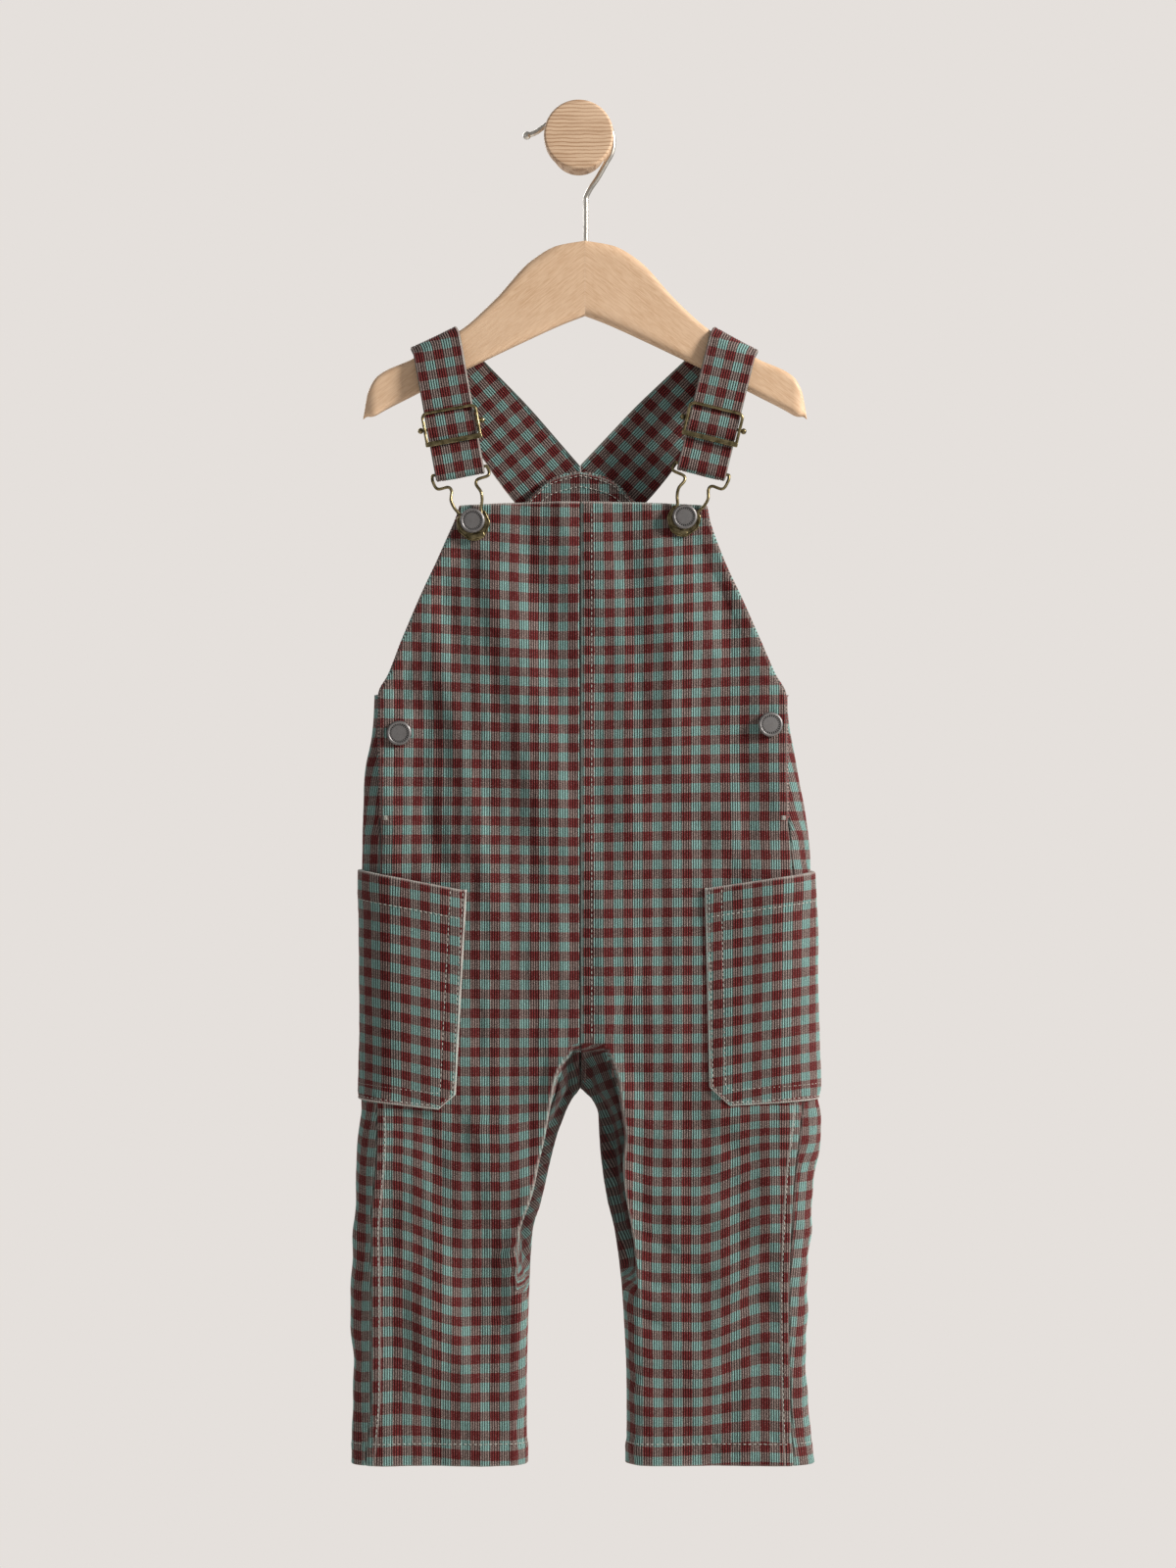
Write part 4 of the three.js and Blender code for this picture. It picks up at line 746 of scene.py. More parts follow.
def needlecord(name, ribbed):
    paint = Paint(name)
    place = paint.place("cloth")
    across, down, wales = paint.split(place)
    jitter = paint.noise(paint.join(wales, paint.times(down, 9.0), 0.0), 1.1, 2.0)
    shift = paint.times(paint.minus(jitter, 0.5), 0.07)

    def stripe(at):
        part = paint.math("FRACT", paint.plus(at, 0.5))
        off = paint.math("ABSOLUTE", paint.minus(part, 0.5))
        return paint.range(paint.plus(off, shift), 0.235, 0.265, 1.0, 0.0)

    both = paint.plus(stripe(across), stripe(down))
    flecks = paint.noise(
        paint.join(paint.times(wales, 3.4), paint.times(down, 30.0), 3.0), 1.0, 2.0, 0.6,
    )
    mixed = paint.mix(paint.range(flecks, 0.38, 0.62), DARK_FLECK, PALE_FLECK)
    low = paint.mix(paint.math("MINIMUM", both, 1.0), TEAL, mixed)
    dyed = paint.mix(paint.math("MAXIMUM", paint.minus(both, 1.0), 0.0), low, RED)
    # Tufts of pile, in short flecks along each wale
    tufts = paint.noise(
        paint.join(paint.times(wales, 3.0), paint.times(down, 22.0), 0.0), 1.0, 3.0, 0.65,
    )
    light = paint.range(tufts, 0.3, 0.72, 0.46, 1.34, smooth=False)
    fade = paint.range(paint.noise(place, 0.55, 3.0, 0.6), 0.3, 0.7, 0.9, 1.1, smooth=False)
    shade = paint.times(light, fade)
    if ribbed:
        # Painted shade in the grooves between the wales and a painted highlight on their crests, multiplied
        # into the tone
        turn = paint.math("COSINE", paint.times(wales, 2 * math.pi))
        crest = paint.range(turn, -0.7, 0.85, 1.34, 0.14, smooth=False)
        shade = paint.times(shade, crest)
    tone = paint.mix(1.0, dyed, paint.join(shade, shade, shade), "MULTIPLY")
    if ribbed:
        # Pale worn tips here and there on the crests
        worn = paint.range(paint.times(tufts, paint.range(turn, 0.2, -1.0)), 0.5, 0.72, 0.0, 0.4)
        tone = paint.mix(worn, tone, colour(205, 205, 198))
        wear_and_painted_light = paint.node("ShaderNodeAttribute", attribute_name="wear_and_painted_light").outputs["Fac"]
        # Below nought: painted shade in the crotch fold, darkening the tone towards near black
        painted_fold_shade = paint.math("MAXIMUM", paint.times(wear_and_painted_light, -0.62), 0.0)
        tone = paint.mix(painted_fold_shade, tone, colour(26, 20, 19))
        # Above nought: pale rims, edge wear with painted highlight where light catches the folded edges,
        # broken up by the tufts
        pale_rim_wear_and_highlight = paint.math("MAXIMUM", wear_and_painted_light, 0.0)
        pale_rim_wear_and_highlight = paint.times(pale_rim_wear_and_highlight, paint.range(tufts, 0.25, 0.6, 0.45, 1.0))
        tone = paint.mix(pale_rim_wear_and_highlight, tone, colour(204, 204, 196))
    fibres = paint.noise(paint.join(paint.times(wales, 5.0), paint.times(down, 40.0), 0.0), 1.0, 3.0, 0.7)
    weave = paint.plus(fibres, paint.times(tufts, 0.8))
    if not ribbed:
        threads = paint.times(
            paint.math("SINE", paint.times(wales, 18.0)), paint.math("SINE", paint.times(down, 140.0)),
        )
        weave = paint.plus(weave, paint.times(threads, 0.5))
    normal = paint.bump(weave, 0.55, 0.0004)
    return paint.finish(
        Base_Color=tone, Roughness=0.92, Normal=normal, Sheen_Weight=0.28, Sheen_Roughness=0.45,
        Sheen_Tint=colour(225, 226, 220), Specular_IOR_Level=0.2,
    )


GROWTH_PITCH = 0.0024


def wood(name, end_grain):
    paint = Paint(name)
    place = paint.solid_place()
    if end_grain:
        stretch = paint.scaled(place, (26.0, 60.0, 400.0))
    else:
        x, y, z = paint.split(place)
        turned = paint.math("ABSOLUTE", paint.minus(x, 0.004))
        lengthwise = paint.plus(paint.times(turned, 0.78), paint.times(z, -0.62))
        crosswise = paint.plus(paint.times(turned, 0.62), paint.times(z, 0.78))
        stretch = paint.join(
            paint.times(lengthwise, 110.0), paint.times(y, 500.0),
            paint.times(crosswise, 1100.0),
        )
    streaks = paint.noise(stretch, 1.0, 4.0, 0.6, 0.35)
    pores = paint.noise(paint.scaled(stretch, (0.9, 3.2, 3.2)), 1.0, 2.0, 0.5)
    broad = paint.noise(place, 28.0, 2.0)
    pale, dark = colour(226, 192, 158), colour(208, 170, 134)
    if end_grain:
        # Growth lines across the turned face
        _, _, height = paint.split(place)
        rings = paint.times(height, 2 * math.pi / GROWTH_PITCH)
        rings = paint.plus(rings, paint.times(paint.noise(place, 90.0, 2.0), 5.0))
        rings = paint.range(paint.math("SINE", rings), 0.2, 1.0)
        streaks = paint.plus(paint.times(rings, 0.26), paint.times(streaks, 0.8))
        pale, dark = colour(222, 190, 158), colour(178, 140, 108)
    tone = paint.mix(paint.range(streaks, 0.35, 0.68), pale, dark)
    tone = paint.mix(paint.range(pores, 0.62, 0.78, 0.0, 0.35), tone, colour(172, 128, 94))
    tone = paint.mix(paint.range(broad, 0.35, 0.7, 0.0, 0.3), tone, colour(236, 204, 172))
    normal = paint.bump(streaks, 0.2, 0.0004)
    rough = paint.range(pores, 0.3, 0.8, 0.45, 0.62, smooth=False)
    return paint.finish(Base_Color=tone, Roughness=rough, Normal=normal, Specular_IOR_Level=0.4)


def metal(name, bright, dull, roughness, scale=260.0, grit=0.08):
    paint = Paint(name)
    place = paint.solid_place()
    patches = paint.noise(place, scale, 3.0, 0.6)
    scratches = paint.noise(paint.scaled(place, (900.0, 900.0, 2600.0)), 1.0, 2.0, 0.5)
    tone = paint.mix(paint.range(patches, 0.35, 0.66), bright, dull)
    rough = paint.range(patches, 0.3, 0.7, roughness * 0.8, roughness * 1.35, smooth=False)
    normal = paint.bump(scratches, grit, 0.0002)
    return paint.finish(Base_Color=tone, Metallic=1.0, Roughness=rough, Normal=normal)


def thread(name, tone):
    paint = Paint(name)
    place = paint.solid_place()
    twist = paint.noise(paint.scaled(place, (2600.0, 2600.0, 1400.0)), 1.0, 2.0, 0.5)
    dyed = paint.mix(paint.range(twist, 0.3, 0.7), tone, tuple(0.55 * c for c in tone[:3]) + (1.0,))
    return paint.finish(
        Base_Color=dyed, Roughness=0.7, Normal=paint.bump(twist, 0.4, 0.0002), Sheen_Weight=0.2,
    )


CORD = needlecord("needlecord", True)
LINING = needlecord("needlecord_inside", False)
BEECH = wood("beech", False)
BEECH_END = wood("beech_end_grain", True)
BRASS = metal("old_brass", colour(158, 144, 108), colour(94, 84, 58), 0.34)
GUNMETAL = metal("gunmetal", colour(152, 149, 148), colour(130, 127, 126), 0.5)
TICKS = metal("gunmetal_marks", colour(58, 55, 54), colour(44, 42, 41), 0.6)
WIRE = metal("satin_wire", colour(222, 217, 207), colour(206, 200, 190), 0.34, grit=0.02)
THREAD = thread("thread", colour(196, 196, 186))


def dress(piece, materials, slot, *nodes):
    """Gives a piece its materials and its body, and hides the solids that it stands for. Its slot is not
    used.
    """
    for material in materials:
        piece.data.materials.append(material)
    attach(piece, "root")
    if nodes:
        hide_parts(*nodes)
    return piece


# Panels and pockets: their rows, and the seams, rims and hems on them
FRONT_DROPS = np.unique(np.concatenate([np.arange(BIB_TOP, HEM, 2.0), CROTCH["drop"], [HEM]]))
BACK_DROPS = np.unique(np.concatenate([
    np.arange(211, HEM, 2.0), CROTCH["drop"], [LEVEL_TOP, OPENING_TOP, HEM],
]))
POCKET_DROPS = np.arange(458, 626, 2.0)
FELL = 8.0
CLOTH_SHARP = 75
BACK_TOP = 211.0
SEAM_END = 604
SEAM_STITCH_END = 572
TOP_LINE = 4.2
RIM_LINE = 8.0
LAP_END = 432.0
ROPE_PITCH = 2.3
ROPE_RADIUS = 1.15
ROPE_RELIEF = 0.24
ROPE_STEP = 0.4
ROPE_INSET = 0.4
ROPE_LIFT = -0.85
# How pale the rolled rims are: edge wear with painted highlight
ROPE_WEAR_AND_HIGHLIGHT = 0.08
HEM_DEPTH = 15.0
EDGE_ROUND = 1.0
ROW_STEP = 3.0

fronts, backs, pockets = {}, {}, {}
for key, _, _ in SIDES:
    fronts[key] = Surface(key, front_path, FRONT_DROPS)
    backs[key] = Surface(key, back_path, BACK_DROPS)
    pockets[key] = Surface(key, pocket_path, POCKET_DROPS)


def rolled(distance, radius=EDGE_ROUND):
    """How far a rim's outer face sinks at a distance from the rim."""
    part = np.clip(1 - np.asarray(distance) / radius, 0, 1)
    return radius * (1 - np.sqrt(1 - part**2))


def hem_lift(u, drop, seed):
    depth = HEM - drop
    turned = 0.8 * smooth(depth, HEM_DEPTH + 0.8, HEM_DEPTH - 0.4)
    stitch = -0.45 * bell(depth - HEM_DEPTH + 1, 0.9)
    pucker = 0.28 * wander(seed, u * 0.9, drop * 0.25) * bell(depth - HEM_DEPTH + 2, 8)
    return turned + stitch + pucker


def seam_lift(key, off, drop):
    """The centre seam's dip, and on the right the felled layer beside it with its stitched line."""
    pucker = 0.25 * wander(71, off * 0.5, drop * 0.8) * bell(off - 4, 5)
    lift = -0.8 * bell(off, 0.8) + pucker
    if key == "R":
        lift = lift + 0.45 * smooth(off, 0, 1.4) * smooth(off, FELL + 1.2, FELL - 0.2)
        lift = lift - 0.4 * bell(off - FELL + 1, 0.7)
    return lift * (1 - smooth(drop, 575, 600))


def leg_fell(off, drop):
    """The felled layer along the leg's side seam."""
    lift = 0.4 * smooth(off, 0, 1.2) * smooth(off, 6.4, 5.4) - 0.35 * bell(off - 5, 0.7)
    return lift * smooth(drop, 436, 446)


THREAD_STAND = 0.42
STITCH = 2.3
STITCH_PITCH = 3.3
THREAD_RADIUS = 0.34
TACK_STITCHES = 4
TACK_WIDTH = 3.4
stitches = Builder()


def sew(line, stitch=STITCH, pitch=STITCH_PITCH):
    """Lays stitches along a line of points, given in millimetres."""
    length = length_along(line)
    starts = np.arange(0.2, max(0.3, length[-1] - stitch), pitch)
    ends = [np.stack([np.interp(at, length, line[:, n]) for n in range(3)], axis=1)
            for at in (starts, starts + stitch)]
    along = ends[1] - ends[0]
    side = np.cross(along, (0.31, 1.0, 0.17))
    side /= np.linalg.norm(side, axis=1)[:, None]
    up = np.cross(side, along / np.linalg.norm(along, axis=1)[:, None])
    turns = np.arange(5) * 2 * math.pi / 5
    rings = []
    for part, thick in ((0.0, 0.4), (0.5, 1.0), (1.0, 0.4)):
        spokes = np.cos(turns)[None, :, None] * side[:, None] + np.sin(turns)[None, :, None] * up[:, None]
        rings.append((ends[0] + along * part)[:, None] + spokes * THREAD_RADIUS * thick)
    points = np.stack(rings, axis=1).reshape(-1, 3)
    one = []
    for ring in (0, 5):
        for k in range(5):
            after = (k + 1) % 5
            one += [(ring + k, ring + after, ring + 5 + after), (ring + k, ring + 5 + after, ring + 5 + k)]
    one += [(0, 2, 1), (0, 3, 2), (0, 4, 3), (10, 11, 12), (10, 12, 13), (10, 13, 14)]
    count = len(starts)
    triangles = (np.array(one)[None] + 15 * np.arange(count)[:, None, None]).reshape(-1, 3)
    stitches.add(points * MM, triangles)


def rows_between(top, foot, step=ROW_STEP):
    ends = np.array([0, 0.25, 0.6, 1.1, 1.8])
    first = top + ends
    last = foot - ends[::-1]
    inner = np.linspace(first[-1], last[0], int((last[0] - first[-1]) / step) + 2)[1:-1]
    return np.concatenate([first, inner, last])


FOLD_DEPTH = 7.0
FOLD_CENTRE_U = 15
FOLD_CENTRE_DROP = 640
FOLD_TURN = {"L": 0.6, "R": -0.35}


def crease(key, u, drop):
    """The crisp fold beside the crotch: how far off it a point is, its strength and its lift."""
    off = fronts[key].at(u, drop)[0] - read(CROTCH, "fold" + key, drop)
    strength = smooth(drop, 572, 590) * smooth(drop, 745, 690)
    crest = np.where(off > 0, bell(off, 7), bell(off, 1.6))
    inset = u - fronts[key].limits(drop)[0]
    sunk = FOLD_DEPTH * smooth(-off, 0.4, 3.6) * smooth(inset, 0, 9)
    pucker = 1.5 * wander(91, (u + 0.7 * drop) * 0.14, (0.7 * u - drop) * 0.03)
    pucker = pucker * smooth(-off, 1, 5) * smooth(inset, 0, 6)
    return off, strength, strength * (1.9 * crest - sunk + pucker)


def within_fold(key, u, drop):
    off, strength, _ = crease(key, u, drop)
    return smooth(-off, 0.2, 1.8) * smooth(strength, 0.1, 0.5)


def front_place(key, u, drop):
    place = check_place(key, u, drop, wear_and_painted_light=front_wear_and_painted_light(key, u, drop))
    turned = within_fold(key, u, drop) * FOLD_TURN[key]
    place[:, 0] += turned * (drop - FOLD_CENTRE_DROP) / CHECK_WIDTH
    place[:, 1] -= turned * (u - FOLD_CENTRE_U) / CHECK_LENGTH
    place[:, 2] += turned * (drop - FOLD_CENTRE_DROP) / WALE
    return place


def inner_lift(face, key, u, drop):
    """The inside of the cloth follows the outside's folds."""
    low, high = (fronts if face == "front" else backs)[key].limits(drop)
    lift = -PANEL_CLOTH + 0.15 + drape(face, key, u, drop, low, high)
    return lift + crease(key, u, drop)[2] if face == "front" else lift


def seam_strip(builder, faces, drops):
    """The seam allowance behind the centre seam, which closes the gap between the panels."""
    face = faces["R"]
    low = face.limits(drops)[0]
    rings = []
    for off, lift in ((-4, -0.1), (4, -0.1), (4, -0.7), (-4, -0.7)):
        rings.append(face.lay(low + off, drops, -PANEL_CLOTH + lift))
    points = np.stack(rings, axis=1).reshape(-1, 3)
    place = np.repeat(check_place("R", low, drops), 4, axis=0)
    triangles = ring_faces(len(drops), 4)
    builder.add(points, triangles, place, np.ones(len(triangles), int))


def ring_faces(rings, around):
    """Triangles of a skin over rings of points, with both ends filled."""
    k = np.arange(around)
    after = (k + 1) % around
    made = []
    for ring in range(rings - 1):
        a, b = ring * around, (ring + 1) * around
        made += [np.stack([a + k, a + after, b + after], axis=1), np.stack([a + k, b + after, b + k], axis=1)]
    last = (rings - 1) * around
    made.append(np.stack([np.zeros(around - 2, int), k[2:], k[1:-1]], axis=1))
    made.append(np.stack([np.full(around - 2, last), last + k[1:-1], last + k[2:]], axis=1))
    return np.concatenate(made)


def bib_fall(key, u, drop):
    """The bib's top falls a little towards its corners."""
    edge = fronts[key].limits(drop)[1]
    fall = BIB_CORNER_FALL * (np.clip(u, 0, None) / edge) ** 2
    return drop + fall * (1 - smooth(drop, BIB_TOP, BIB_TOP + 25))


def front_lift(key, u, drop):
    """How far the front's cloth stands off its plain form, without its wales."""
    low, high = fronts[key].limits(drop)
    seam = seam_lift(key, u - low, drop)
    side = -rolled(high - u, 1.4)
    top = -rolled(drop - BIB_TOP, 1.1)
    band = -0.2 * bell(drop - BIB_TOP - TOP_LINE, 0.8)
    rim = 0.3 * smooth(high - u, RIM_LINE + 1.5, RIM_LINE + 0.3)
    rim = rim * (1 - smooth(drop, 425, 436)) + leg_fell(high - u, drop)
    ripple = drape("front", key, u, drop, low, high)
    foot = -rolled(HEM - drop, 1.1)
    fold = crease(key, u, drop)[2]
    return seam + side + top + band + rim + ripple + foot + hem_lift(u, drop, 14) + fold


# Pale rims along the centre seam, the bib's top and sides, the side fell, the hem and the crease's crest:
# edge wear with painted highlight. Painted shade inside the crotch fold is sent below nought.
def front_wear_and_painted_light(key, u, drop):
    low, high = fronts[key].limits(drop)
    seam = 0.0
    if key == "R":
        seam = 0.5 * bell(u - low - 0.7, 0.5) * (1 - smooth(drop, 560, 585))
    top = 0.45 * smooth(drop - BIB_TOP, 1.5, 0.5)
    side = 0.2 * smooth(high - u, 1.6, 0.4)
    fell = 0.45 * bell(high - u - 5.6, 0.5) * smooth(drop, 590, 600)
    hem = 0.2 * smooth(HEM - drop, 1.6, 0.3)
    off = crease(key, u, drop)[0]
    # A painted highlight along the crease's lit crest
    fold = 0.5 * bell(off + 0.4, 0.8) * smooth(drop, 575, 590) * smooth(drop, 720, 680)
    # Painted shade inside the crotch fold
    painted_fold_shade = within_fold(key, u, drop) * smooth(-off, 1.0, 3.4) * smooth(drop, 745, 690)
    return np.clip(seam + top + side + fell + hem + fold, 0, 1) - painted_fold_shade


def cut(lows, highs):
    """Takes a piece of cloth's edges at places down it, and does nothing more with them."""
    lows, highs = np.array(lows), np.array(highs)


def front_panel(key, name):
    face = fronts[key]
    drops = rows_between(BIB_TOP, HEM)
    rows = [columns(*face.limits(drop)) for drop in drops]

    def true_drop(k, u):
        teeth = 0.5 * wale(u) * smooth(drops[k] - BIB_TOP, 1.2, 0.2)
        return bib_fall(key, u, drops[k]) - teeth

    def lift(k, u):
        wales = uneven_wale(13, u, drops[k] * 0.5)
        return front_lift(key, u, drops[k]) + wales * (1 - 0.9 * within_fold(key, u, drops[k]))

    builder = Builder()
    wall(
        builder, rows,
        lambda k, u: face.lay(u, drops[k], lift(k, u), true_drop(k, u)),
        lambda k, u: face.lay(u, drops[k], inner_lift("front", key, u, drops[k]), true_drop(k, u)),
        lambda k, u: front_place(key, u, drops[k]),
    )
    edge_drops = np.arange(BIB_TOP + 1.0, LAP_END, ROPE_STEP)
    highs = face.limits(edge_drops)[1]
    rim = face.lay(highs - ROPE_INSET, edge_drops, ROPE_LIFT, bib_fall(key, highs, edge_drops)) / MM
    corded(builder, rim, check_place(key, highs, edge_drops, wear_and_painted_light=ROPE_WEAR_AND_HIGHLIGHT))
    if key == "R":
        seam_strip(builder, fronts, np.arange(BIB_TOP + 1, SEAM_END, 4.0))
    made = builder.make(f"cord_front_{name}", CLOTH_SHARP)
    piece = dress(made, [CORD, LINING], "needlecord", f"front_{name}")
    lows, highs = zip(*(row[[0, -1]] for row in rows))
    cut(lows, highs)


def corded(builder, line, cloth):
    """A rolled edge with the wales' ends across it, like a fine rope."""
    length = length_along(line)
    turn = length / ROPE_PITCH
    thick = ROPE_RADIUS + ROPE_RELIEF * (0.5 + 0.5 * np.cos(2 * math.pi * turn)) - ROPE_RELIEF
    points, triangles = tube(line, thick, sides=8)
    near = np.linalg.norm(points[:, None, ::2] - line[None, :, ::2], axis=2).argmin(axis=1)
    place = cloth[near].copy()
    # This wale phase puts the material's painted groove shade and crest highlight on the rope's grooves and
    # ridges
    place[:, 2] = turn[near] + 0.5
    builder.add(points * MM, triangles, place)


def back_panel(key, name):
    face = backs[key]
    drops = np.concatenate([
        [211.0, 211.3, 211.8, 212.6, 213.8], np.arange(215.5, OPENING_TOP - 1, 2.6),
        np.linspace(OPENING_TOP, OPENING_TOP + 3, 6), rows_between(OPENING_TOP + 5, HEM, 3.4)[1:],
    ])

    def high(drop):
        full = face.limits(drop)[1]
        if drop >= OPENING_TOP + 3:
            return full
        reach = float(read(ARMHOLE, "reach", drop))
        at = back_section(key, drop)
        if reach <= at.out - at.round:
            here = max(reach, 0.8)
        else:
            angle = math.pi - at.angle_at(reach)
            turned = np.linspace(math.pi, at.angle_at(at.edge - at.lap + SEAM_GAP / 2), 120)
            part = np.interp(-angle, -turned, np.arange(len(turned)))
            u = face_length(key, drop)
            here = np.interp(part + 139, np.arange(len(u)), u)
        if drop > OPENING_TOP:
            return here + (full - here) * (drop - OPENING_TOP) / 3
        return here

    highs = [high(drop) for drop in drops]
    rows = [columns(face.limits(drop)[0], top) for drop, top in zip(drops, highs)]

    def lift(k, u):
        drop = drops[k]
        low = face.limits(drop)[0]
        seam = seam_lift(key, u - low, drop)
        side = -rolled(highs[k] - u, 1.4)
        ripple = drape("back", key, u, drop, low, highs[k])
        foot = -rolled(HEM - drop, 1.1)
        wales = uneven_wale(23, u, drop * 0.5)
        return seam + side + ripple + foot + hem_lift(u, drop, 24) + wales

    # Pale lines along the centre seam and the outer rim: edge wear with painted highlight
    def wear_and_painted_light(k, u):
        low = face.limits(drops[k])[0]
        seam = 0.4 * bell(u - low - 0.7, 0.5) * (1 - smooth(drops[k], 560, 585))
        return np.clip(seam + 0.2 * smooth(highs[k] - u, 1.6, 0.4), 0, 1)

    builder = Builder()
    wall(
        builder, rows,
        lambda k, u: face.lay(u, drops[k], lift(k, u)),
        lambda k, u: face.lay(u, drops[k], inner_lift("back", key, u, drops[k])),
        lambda k, u: check_place(key, u, drops[k], (3.0, 0.0), wear_and_painted_light(k, u)),
    )
    edge_drops = np.arange(drops[0] + 1.0, OPENING_TOP + 2, ROPE_STEP)
    ends = np.interp(edge_drops, drops, highs)
    rim = face.lay(ends - ROPE_INSET, edge_drops, ROPE_LIFT) / MM
    steady = np.linalg.norm(np.diff(rim, axis=0), axis=1) < 3
    rim = rim[np.append(True, steady)]
    place = check_place(key, ends, edge_drops, wear_and_painted_light=ROPE_WEAR_AND_HIGHLIGHT)[np.append(True, steady)]
    line, at = resampled(rim, ROPE_STEP)
    length = length_along(rim)
    place = np.stack([np.interp(at, length, place[:, n]) for n in range(4)], axis=1)
    corded(builder, line, place)
    if key == "R":
        seam_strip(builder, backs, np.arange(BACK_TOP + 1, SEAM_END, 4.0))
    made = builder.make(f"cord_back_{name}", CLOTH_SHARP)
    piece = dress(made, [CORD, LINING], "needlecord", f"back_{name}")
    lows, highs = zip(*(row[[0, -1]] for row in rows))
    cut(lows, highs)


def face_length(key, drop):
    reach, depth, _, rising = back_path(key, drop)
    length = np.append(0, np.cumsum(np.hypot(np.diff(reach), np.diff(depth))))
    return length - np.interp(HOME_REACH, reach[:rising], length[:rising]) + HOME_REACH


def pocket(key, name):
    face = pockets[key]
    size = POCKETS[key]
    middle = (size["top_side"] + size["foot_side"]) / 2
    start, end = face.limits(middle)
    start, end = start + POCKET_SPARE, end - POCKET_SPARE
    widest = Section(key, middle).out
    length = size["foot"] - size["top_inner"]

    def line_at(u):
        reach = face.at(u, middle)[0]
        behind = u > (start + end) / 2
        inner = np.where(behind, pocket_inner(key, middle) + POCKET_BACK_SHIFT, pocket_inner(key, middle))
        away = np.clip((reach - inner) / (widest - inner), 0, 1)
        corner = np.clip(1 - (reach - inner) / POCKET_CORNER_WIDTH, 0, 1)
        top = size["top_inner"] + (size["top_side"] - size["top_inner"]) * away
        foot = size["foot"] + (size["foot_side"] - size["foot"]) * away - POCKET_CORNER_HEIGHT * corner
        gape = POCKET_GAPE * np.where(behind, POCKET_BACK_GAPE, 1) * np.sin(math.pi * away) ** 0.6
        return top, foot, gape

    def foot_share(u, inset):
        top, foot, _ = line_at(u)
        return 1 - inset / (foot - top)

    def slant(share):
        return (size["inner_foot"] - size["inner_top"]) * (share - 0.5)

    def spot(share, u):
        top, foot, gape = line_at(u)
        drop = top + (foot - top) * share
        rim = np.minimum(u - start - slant(share), end - slant(share) - u)
        gape = gape * bell(drop - top, POCKET_GAPE_FALL)
        return drop, drop - top, foot - drop, rim, gape

    def lift(share, u):
        drop, below, above, rim, gape = spot(share, u)
        near = np.minimum(rim, above)
        sunk = -rolled(rim, 1.3) - rolled(below, 1.1) - rolled(above, 1.1)
        for inset in POCKET_LINES:
            sunk = sunk - 0.35 * bell(near - inset, 0.7) * smooth(below, 0, 2)
        hemmed = 0.5 * smooth(below, POCKET_HEM + 1.6, POCKET_HEM + 0.4)
        hemmed = hemmed - 0.35 * bell(below - POCKET_HEM, 0.7)
        ripple = 0.2 * wander(31, u * 0.2, drop * 0.15) + 0.9 * wander(32, u * 0.06, drop * 0.06)
        pucker = 0.2 * wander(33, u * 0.6, drop * 0.5) * bell(near, 6)
        return gape + sunk + hemmed + ripple * smooth(near, 0, 10) + pucker

    def skin(share, u, more=0.0):
        return face.lay(u, spot(share, u)[0], POCKET_GAP + POCKET_CLOTH - 0.3 + lift(share, u) + more)

    def place(share, u):
        _, below, above, rim, _ = spot(share, u)
        # Pale pocket rims and top: edge wear with painted highlight
        wear_and_painted_light = 0.7 * smooth(np.minimum(rim, above), 1.7, 0.7) + 0.4 * smooth(below, 1.6, 0.6)
        return check_place(key, u, below + size["top_inner"], (5.5, 2.0), np.clip(wear_and_painted_light, 0, 1))

    shares = rows_between(0, length, 3.2) / length
    rows = [columns(start + slant(share), end - slant(share)) for share in shares]
    builder = Builder()
    wall(
        builder, rows,
        lambda k, u: skin(shares[k], u, uneven_wale(33, u, shares[k] * 70)),
        lambda k, u: face.lay(u, spot(shares[k], u)[0], POCKET_GAP + spot(shares[k], u)[4]),
        lambda k, u: place(shares[k], u),
        row_skip=2,
    )
    for inset in POCKET_LINES:
        first = start + slant(1) + inset
        last = end - slant(1) - inset
        down = np.linspace(POCKET_LINE_TOP, float(foot_share(first, inset)), 120)
        up = np.linspace(float(foot_share(last, inset)), POCKET_LINE_TOP, 120)
        across = np.linspace(first, last, 160)[1:-1]
        u = np.concatenate([start + slant(down) + inset, across, end - slant(up) - inset])
        share = np.concatenate([down, foot_share(across, inset), up])
        sew(skin(share, u, THREAD_STAND) / MM)
    across = np.linspace(start + 2, end - 2, 200)
    top, foot, _ = line_at(across)
    sew(skin(POCKET_HEM / (foot - top), across, THREAD_STAND) / MM)
    made = builder.make(f"cord_pocket_{name}", CLOTH_SHARP)
    piece = dress(made, [CORD, LINING], "needlecord", f"pocket_{name}")
    places = np.linspace(start, end, 60)
    top, foot, _ = line_at(places)
    cut(top, foot)


